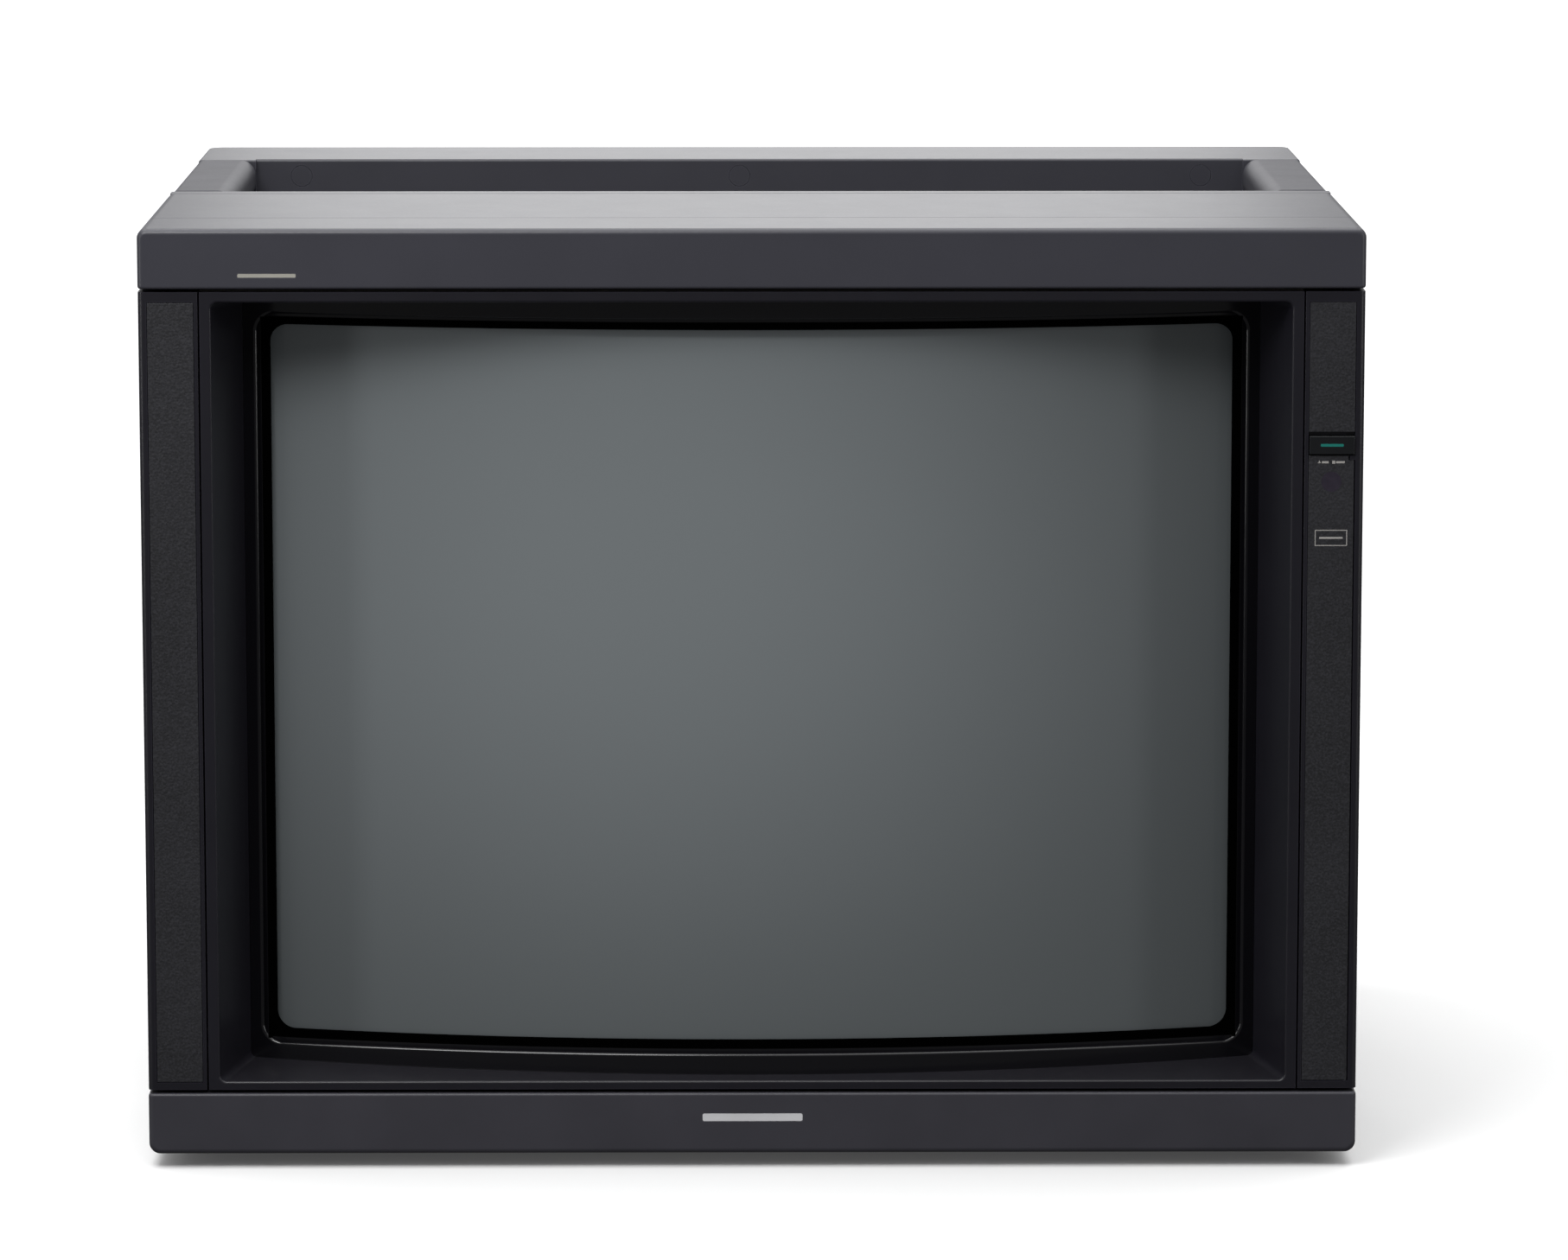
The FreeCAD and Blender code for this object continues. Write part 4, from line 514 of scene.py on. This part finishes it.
def screen_glass():
    """Grey-green phosphor under a polished coat, with painted light lightest up and left of the
    middle and painted shade darkening the rim.
    """
    body = (0.170, 0.188, 0.196)
    finish = Finish("screen_glass", body, 0.42)
    glass_low, glass_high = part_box("tube_face_glass")
    middle = (glass_low + glass_high) / 2
    # Painted light and shade: the colour is lightest 60 mm left of and 80 mm above the middle of
    # the glass and darkens towards the rim.
    mapping = finish.node("ShaderNodeMapping", vector_type="POINT")
    mapping.inputs["Location"].default_value = (
        0.06 / 0.42, 0.0, -(middle.z + 0.080) / 0.36)
    mapping.inputs["Scale"].default_value = (1 / 0.42, 0.0, 1 / 0.36)
    finish.link(finish.place, mapping.inputs["Vector"])
    distance = finish.node("ShaderNodeVectorMath", operation="LENGTH")
    finish.link(mapping.outputs["Vector"], distance.inputs[0])
    item = finish.node("ShaderNodeMapRange", interpolation_type="SMOOTHERSTEP")
    for socket, value in (("From Min", 0.0), ("From Max", 1.05), ("To Min", 0.0), ("To Max", 1.0)):
        item.inputs[socket].default_value = value
    finish.link(distance.outputs["Value"], item.inputs["Value"])
    finish.paint(finish.mix(item.outputs["Result"], shade(body, 1.08), shade(body, 0.60)))
    smear = finish.noise(40, detail=4, stretch=(1, 1, 0.3))
    finish.rough(finish.remap(smear, 0.3, 0.7, 0.39, 0.43))
    finish.surface.inputs["Specular IOR Level"].default_value = 0.25
    finish.surface.inputs["Coat Weight"].default_value = 1.0
    finish.surface.inputs["Coat Roughness"].default_value = 0.06
    finish.surface.inputs["Coat IOR"].default_value = 1.5
    return finish.material


screen_skin = screen_glass()
print("screen glass ready")

# %% [markdown]
# ## Metals, rubber, cloth and boards
#
# Inside are plated steel, nickel, ferrite, copper, rubber, cloth tape and brown laminate. Each
# is shown mostly through vents or with the cover off, yet each has its own tell: brushed lines
# on steel, strands on copper, a weave on tape, flecks on laminate.

# %% Metal recipe


def metal(name, colour, roughness, brushed=True, spangle=False):
    """Plated metal with fine lines or a zinc spangle."""
    finish = Finish(name, colour, roughness, metallic=1.0)
    stretch = (0.05, 1, 1) if brushed else (1, 1, 1)
    lines = finish.noise(0.8, detail=3, stretch=stretch)
    finish.rough(finish.remap(lines, 0.3, 0.7, roughness - 0.08, roughness + 0.1))
    tone = finish.cells(12) if spangle else finish.noise(30)
    finish.paint(finish.mix(tone, shade(colour, 0.85), colour))
    finish.bump(lines, 0.01, strength=0.5)
    return finish.material


steel_skin = metal("zinc_steel", (0.52, 0.52, 0.53), 0.36, spangle=True)
nickel_skin = metal("nickel", (0.72, 0.70, 0.66), 0.2)
copper_skin = metal("enamelled_copper", (0.55, 0.20, 0.08), 0.35)

# %% [markdown]
# ## Soft and grainy stuff
#
# Feet are rubber, the dust seal is felt, the degaussing coil is wound in cloth tape, and the
# yoke's core is pressed ferrite. Each could have a recipe of its own. They share one, because all
# are matt and differ mostly in how coarse the strands or grains are.

# %% Rubber, felt, tape, ferrite, laminate and tinted window


def fibre(name, colour, size_mm, depth, stretch=(1, 1, 1), roughness=0.9):
    """A matt fibrous or granular stuff with strong small-scale relief."""
    finish = Finish(name, colour, roughness)
    strands = finish.noise(size_mm, detail=5, roughness=0.7, stretch=stretch)
    finish.paint(finish.mix(finish.remap(strands, 0.35, 0.65, 0, 1), shade(colour, 0.6),
                            shade(colour, 1.5)))
    finish.bump(strands, depth)
    return finish.material


rubber_skin = fibre("black_rubber", (0.016, 0.016, 0.016), 1.2, 0.03, roughness=0.7)
felt_skin = fibre("dusty_felt", (0.022, 0.019, 0.017), 0.9, 0.25)
tape_skin = fibre("cloth_tape", (0.03, 0.03, 0.032), 1.0, 0.15, stretch=(0.3, 1, 1))
ferrite_skin = fibre("ferrite", (0.05, 0.045, 0.045), 0.8, 0.03, roughness=0.5)
laminate_skin = fibre("board_laminate", (0.33, 0.19, 0.075), 3.0, 0.02, roughness=0.4)
potted_skin = fibre("potted_resin", (0.05, 0.022, 0.015), 6.0, 0.05, roughness=0.25)
funnel_skin = fibre("graphite_coat", (0.03, 0.03, 0.032), 2.0, 0.02, roughness=0.55)


def tinted_window():
    """A polished dark violet lens that lets infrared through."""
    finish = Finish("violet_window", (0.019, 0.015, 0.026), 0.5)
    streaks = finish.noise(4, detail=2)
    finish.rough(finish.remap(streaks, 0.3, 0.7, 0.44, 0.54))
    finish.paint(finish.mix(streaks, (0.016, 0.012, 0.022), (0.024, 0.018, 0.032)))
    return finish.material


window_skin = tinted_window()

# %% [markdown]
# ## Which piece gets which finish
#
# The part's record names a material for each piece. A finish could be picked by hand for all
# sixty, but the record already knows. So the material's name decides, and a short second list
# names the pieces whose skin differs from others of the same plastic.

# %% Give each CAD piece its finish
BY_SLOT = {
    "cabinet_plastic": hood_skin,
    "bezel_plastic": bezel_skin,
    "insert_plastic": insert_skin,
    "mask_black": mask_skin,
    "cover_plastic": cover_skin,
    "knob_plastic": knob_skin,
    "tinted_window": window_skin,
    "seal_felt": felt_skin,
    "foot_rubber": rubber_skin,
    "screen_glass": screen_skin,
    "funnel_glass": funnel_skin,
    "band_steel": steel_skin,
    "jack_metal": nickel_skin,
    "ferrite": ferrite_skin,
    "copper_winding": copper_skin,
    "coil_tape": tape_skin,
    "sleeve_plastic": nylon_skin,
    "board_laminate": laminate_skin,
    "transformer_block": potted_skin,
}
BY_NODE = {
    "power_button": button_skin,
    "handle_rail_left": frame_skin,
    "handle_rail_right": frame_skin,
    "lower_front_bar": bar_skin,
    "base_tray": bar_skin,
    "side_panel_left": frame_skin,
    "side_panel_right": frame_skin,
    "crossbar_plugs": hood_skin,
    "control_panel": panel_skin,
    "terminal_panel": panel_skin,
}
for row in frame["record"]["subparts"]:
    piece = NODES[row["node"]]
    skin = BY_NODE.get(row["node"], BY_SLOT[row["material_slot"]])
    for holder in piece.material_slots:
        holder.material = skin
    if not piece.material_slots:
        piece.data.materials.append(skin)

# %% [markdown]
# ## Thin plates and printed marks
#
# The real set carries a bright plate on the plinth, a small one on the hood, a lit legend on
# the power button, and pale printing on the door. Here each is a plain bar or sign with no
# words. Printing could be a picture on the surface, but then it would be flat colour with no
# edge. A plate a tenth of a millimetre thick catches light as ink and foil do.

# %% Plate maker


def round_uprights(piece, corner):
    """In edit mode, bevel the edges that run along Y, so the plate's corners are round."""
    only(piece)
    bpy.ops.object.mode_set(mode="EDIT")
    bpy.ops.mesh.select_mode(type="EDGE")
    bpy.ops.mesh.select_all(action="DESELECT")
    mesh = bmesh.from_edit_mesh(piece.data)
    for edge in mesh.edges:
        run = edge.verts[1].co - edge.verts[0].co
        edge.select = abs(run.y) > 0.9 * run.length
    bmesh.update_edit_mesh(piece.data)
    bpy.ops.mesh.bevel(offset=corner, segments=4, affect="EDGES")
    bpy.ops.object.mode_set(mode="OBJECT")


def plate(name, middle, width, height, thick, corner, skin):
    """A thin upright plate with round corners."""
    bpy.ops.object.select_all(action="DESELECT")
    bpy.ops.mesh.primitive_cube_add(size=1, location=middle, calc_uvs=False)
    piece = named(name)
    piece.scale = (width * MM, thick * MM, height * MM)
    settle(piece)
    round_uprights(piece, corner * MM)
    piece.data.materials.append(skin)
    return piece


foil_skin = plastic("satin_silver", (0.66, 0.66, 0.68), 0.34, 0.4, 0.005)
dull_foil_skin = plastic("dull_silver", (0.36, 0.35, 0.31), 0.42, 0.4, 0.005)
legend_skin = plastic("green_legend", (0.010, 0.175, 0.145), 0.4, 0.3, 0.005)
print_skin = plastic("pale_print", (0.36, 0.345, 0.33), 0.6, 0.3, 0.005)

# %% Plates on the plinth and hood
bar_low, bar_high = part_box("lower_front_bar")
hood_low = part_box("front_hood")[0]
bar_plate = plate("plinth_plate",
                  (0, bar_low.y + 0.33 * MM, (bar_low.z + bar_high.z) / 2 + 3.3 * MM),
                  53.8, 4.2, 0.5, 0.9, foil_skin)
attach(bar_plate, "cabinet")
hood_plate = plate("hood_plate",
                   (-256.5 * MM, hood_low.y + 0.33 * MM, hood_low.z + 7.2 * MM),
                   30.8, 2.0, 0.5, 0.4, dull_foil_skin)
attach(hood_plate, "cabinet")
print("plates", bar_plate.name, hood_plate.name)

# %% Legend on the power button
button_low, button_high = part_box("power_button")
button_middle = (button_low + button_high) / 2
legend = plate("button_legend",
               (button_middle.x, button_low.y - 0.04 * MM, button_middle.z),
               12.2, 1.5, 0.1, 0.5, legend_skin)
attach(legend, "power_button")
print("button legend at", [round(value, 4) for value in button_middle])

# %% [markdown]
# ## Marks on the door
#
# The door carries pale printing under the power button and a framed mark lower down. Words are
# left out. Plain shapes of the same size and spacing stand in, joined to one piece per group so
# that each group swings with the door.

# %% Signs on the door: a triangle, a square and two dashes, then a framed dash
door_low, door_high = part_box("control_door")
door_front = door_low.y - 0.04 * MM
sign_level = door_high.z - 3.6 * MM
column = button_middle.x


def triangle(name, middle, radius, thick, skin):
    """A three-sided prism that points up, its axis along Y."""
    bpy.ops.object.select_all(action="DESELECT")
    bpy.ops.mesh.primitive_cylinder_add(vertices=3, radius=radius * MM, depth=thick * MM,
                                        location=middle, rotation=(math.pi / 2, 0, 0),
                                        calc_uvs=False)
    piece = settle(named(name))
    piece.data.materials.append(skin)
    return piece


signs = [
    triangle("sign_triangle", (column - 6.6 * MM, door_front, sign_level), 1.0, 0.1, print_skin),
    plate("sign_first_dash", (column - 3.5 * MM, door_front, sign_level), 3.6, 1.1, 0.1, 0.2,
          print_skin),
    plate("sign_square", (column + 1.0 * MM, door_front, sign_level), 1.6, 1.6, 0.1, 0.1,
          print_skin),
    plate("sign_second_dash", (column + 4.6 * MM, door_front, sign_level), 4.6, 1.1, 0.1, 0.2,
          print_skin),
]
only(*signs)
bpy.ops.object.join()
state_signs = named("state_signs")
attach(state_signs, "control_door")


def outline_frame(name, middle, width, height, line, thick, skin):
    """A rectangular line: a sheet, inset, with its middle deleted and the rest thickened."""
    bpy.ops.object.select_all(action="DESELECT")
    bpy.ops.mesh.primitive_plane_add(size=1, location=middle, rotation=(math.pi / 2, 0, 0),
                                     calc_uvs=False)
    piece = named(name)
    piece.scale = (width * MM, height * MM, 1)
    settle(piece)
    bpy.ops.object.mode_set(mode="EDIT")
    bpy.ops.mesh.select_mode(type="FACE")
    bpy.ops.mesh.select_all(action="SELECT")
    bpy.ops.mesh.inset(thickness=line * MM)
    bpy.ops.mesh.delete(type="FACE")
    bpy.ops.object.mode_set(mode="OBJECT")
    wall = piece.modifiers.new("wall", "SOLIDIFY")
    wall.thickness = thick * MM
    wall.offset = -1.0
    apply_all(piece)
    piece.data.materials.append(skin)
    return piece


label_level = door_high.z - 44.2 * MM
label_parts = [
    outline_frame("label_outline", (column, door_front - 0.03 * MM, label_level), 17.2, 8.6, 0.45,
                  0.1, print_skin),
    plate("label_dash", (column, door_front, label_level), 12.5, 1.0, 0.1, 0.2, print_skin),
]
only(*label_parts)
bpy.ops.object.join()
door_label = named("door_label")
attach(door_label, "control_door")
print("door signs", len(state_signs.data.polygons), len(door_label.data.polygons))

# %% [markdown]
# ## Knob grips
#
# The four small knobs behind the door are moulded with fine ribs so that a fingertip holds
# them. Ribs could be cut with many booleans, but a prism with twice as many sides as ribs does
# it in one step: every other side is pushed outward.

# %% Ribbed collars that turn with the knobs
RIBS = 24


def ribbed_collar(name, node_name, length):
    """A collar round a knob's front, with every other side face raised."""
    knob_low, knob_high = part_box(node_name)
    radius = (knob_high.x - knob_low.x) / 2
    middle = Vector(((knob_low.x + knob_high.x) / 2, knob_low.y + (length / 2 + 1.4) * MM,
                     (knob_low.z + knob_high.z) / 2))
    bpy.ops.object.select_all(action="DESELECT")
    bpy.ops.mesh.primitive_cylinder_add(vertices=2 * RIBS, radius=radius + 0.02 * MM,
                                        depth=length * MM, location=middle,
                                        rotation=(math.pi / 2, 0, 0), calc_uvs=False)
    piece = settle(named(name))
    bpy.ops.object.mode_set(mode="EDIT")
    bpy.ops.mesh.select_mode(type="FACE")
    turn = 2 * math.pi / (2 * RIBS)
    pick_faces(piece, lambda centre, normal: abs(normal.y) < 0.5 and int(
        (math.atan2(centre.z - middle.z, centre.x - middle.x) + 2 * math.pi) / turn) % 2 == 0)
    bpy.ops.mesh.extrude_faces_move(TRANSFORM_OT_shrink_fatten={"value": 0.3 * MM})
    bpy.ops.object.mode_set(mode="OBJECT")
    piece.data.materials.append(knob_skin)
    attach(piece, node_name)
    return piece


for knob_name in ("brightness_knob", "picture_knob", "colour_knob", "hue_knob"):
    collar = ribbed_collar(knob_name.replace("knob", "grip"), knob_name, 6.5)
    print(collar.name, len(collar.data.polygons), "faces")

# %% [markdown]
# ## Screws, jack rings and clip levers at the back
#
# The back cover is held by pan-head screws with a cross recess. Each phono jack sits in a
# coloured ring that says what it carries, and each loudspeaker clip has a sprung lever, red or
# black. They could be painted on, yet from the back they are what the eye looks for first.

# %% Cross-recessed screw heads


def screw_head(name, middle, radius, height):
    """A pan head: a disc with a bevelled rim and a cross cut by two small bars."""
    bpy.ops.object.select_all(action="DESELECT")
    bpy.ops.mesh.primitive_cylinder_add(vertices=40, radius=radius, depth=height,
                                        location=middle, rotation=(math.pi / 2, 0, 0),
                                        calc_uvs=False)
    head = settle(named(name))
    rim = head.modifiers.new("rim", "BEVEL")
    rim.width = height * 0.45
    rim.segments = 4
    rim.angle_limit = math.radians(50)
    apply_all(head)
    for turn in (0.0, math.pi / 2):
        bpy.ops.object.select_all(action="DESELECT")
        bpy.ops.mesh.primitive_cube_add(size=1, location=middle + Vector((0, height * 0.4, 0)),
                                        rotation=(0, turn, 0), calc_uvs=False)
        bar = named("recess_bar")
        bar.scale = (radius * 1.1, height * 0.9, radius * 0.24)
        settle(bar)
        cut = head.modifiers.new("recess", "BOOLEAN")
        cut.object = bar
        cut.operation = "DIFFERENCE"
        apply_all(head)
        bpy.data.objects.remove(bar, do_unlink=True)
    return head


screws_low, screws_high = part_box("cover_screws")
screw_radius = 4.4 * MM
screw_height = screws_high.y - screws_low.y
screw_y = (screws_low.y + screws_high.y) / 2
heads = [screw_head("screw_head", Vector((x, screw_y, z)), screw_radius, screw_height)
         for x in (screws_low.x + 4.5 * MM, screws_high.x - 4.5 * MM)
         for z in (screws_low.z + 4.5 * MM, screws_high.z - 4.5 * MM)]
only(*heads)
bpy.ops.object.join()
cover_heads = smooth(named("cover_screw_heads"))
cover_heads.data.materials.clear()
cover_heads.data.materials.append(metal("blackened_steel", (0.10, 0.10, 0.10), 0.35))
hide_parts("cover_screws")
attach(cover_heads, "cabinet")
print("screw heads", len(heads))

# %% [markdown]
# ## Rings that tell the jacks apart
#
# Nine jacks in three columns carry picture and two channels of sound, and a coloured ring round
# each says which. A flat disc would do from afar. A thin round ring catches a highlight as the
# real moulded collar does, and its place comes from the record's own mounts.

# %% Coloured rings round the phono jacks
RING_COLOURS = {
    "yellow": (0.60, 0.42, 0.02),
    "white": (0.55, 0.55, 0.53),
    "red": (0.45, 0.02, 0.015),
}
RING_ORDER = ("yellow", "white", "red")
ring_skins = {word: plastic(word + "_ring", colour, 0.35, 0.5, 0.01)
              for word, colour in RING_COLOURS.items()}
jack_mounts = sorted((row for row in frame["record"]["mounts"]
                      if row["name"].startswith("phono_jack")),
                     key=lambda row: (round(row["pos_m"][0], 4), -row["pos_m"][2]))
panel_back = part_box("terminal_panel")[1].y
for index, row in enumerate(jack_mounts):
    word = RING_ORDER[index // 3]
    bpy.ops.object.select_all(action="DESELECT")
    bpy.ops.mesh.primitive_torus_add(
        major_radius=7.0 * MM, minor_radius=0.7 * MM, major_segments=48, minor_segments=12,
        location=(row["pos_m"][0], panel_back + 0.2 * MM, row["pos_m"][2]),
        rotation=(math.pi / 2, 0, 0), generate_uvs=False)
    ring = smooth(settle(named("%s_ring_%d" % (word, index + 1))), 80)
    ring.data.materials.append(ring_skins[word])
    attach(ring, "cabinet")
print("jack rings", len(jack_mounts))

# %% [markdown]
# ## Levers for bare wire
#
# A sprung lever opens each clip. Red and black alternate, so that wires aren't swapped. A box
# with softened edges is enough, since the spring and the wire hole lie behind it.

# %% Levers on the loudspeaker clips
clips_low, clips_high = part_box("speaker_clips")
CLIP_WIDTH = 13 * MM
clip_pitch = (clips_high.x - clips_low.x - CLIP_WIDTH) / 3
lever_skins = (ring_skins["red"], knob_skin)
for index in range(4):
    middle_x = clips_low.x + CLIP_WIDTH / 2 + index * clip_pitch
    bpy.ops.object.select_all(action="DESELECT")
    bpy.ops.mesh.primitive_cube_add(
        size=1, location=(middle_x, clips_high.y, clips_high.z - 7 * MM), calc_uvs=False)
    lever = named("clip_lever_%d" % (index + 1))
    lever.scale = (8.5 * MM, 3.0 * MM, 9.0 * MM)
    settle(lever)
    edge = lever.modifiers.new("edge", "BEVEL")
    edge.width = 0.8 * MM
    edge.segments = 3
    apply_all(lever)
    smooth(lever)
    lever.data.materials.append(lever_skins[index % 2])
    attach(lever, "cabinet")
print("levers fitted")
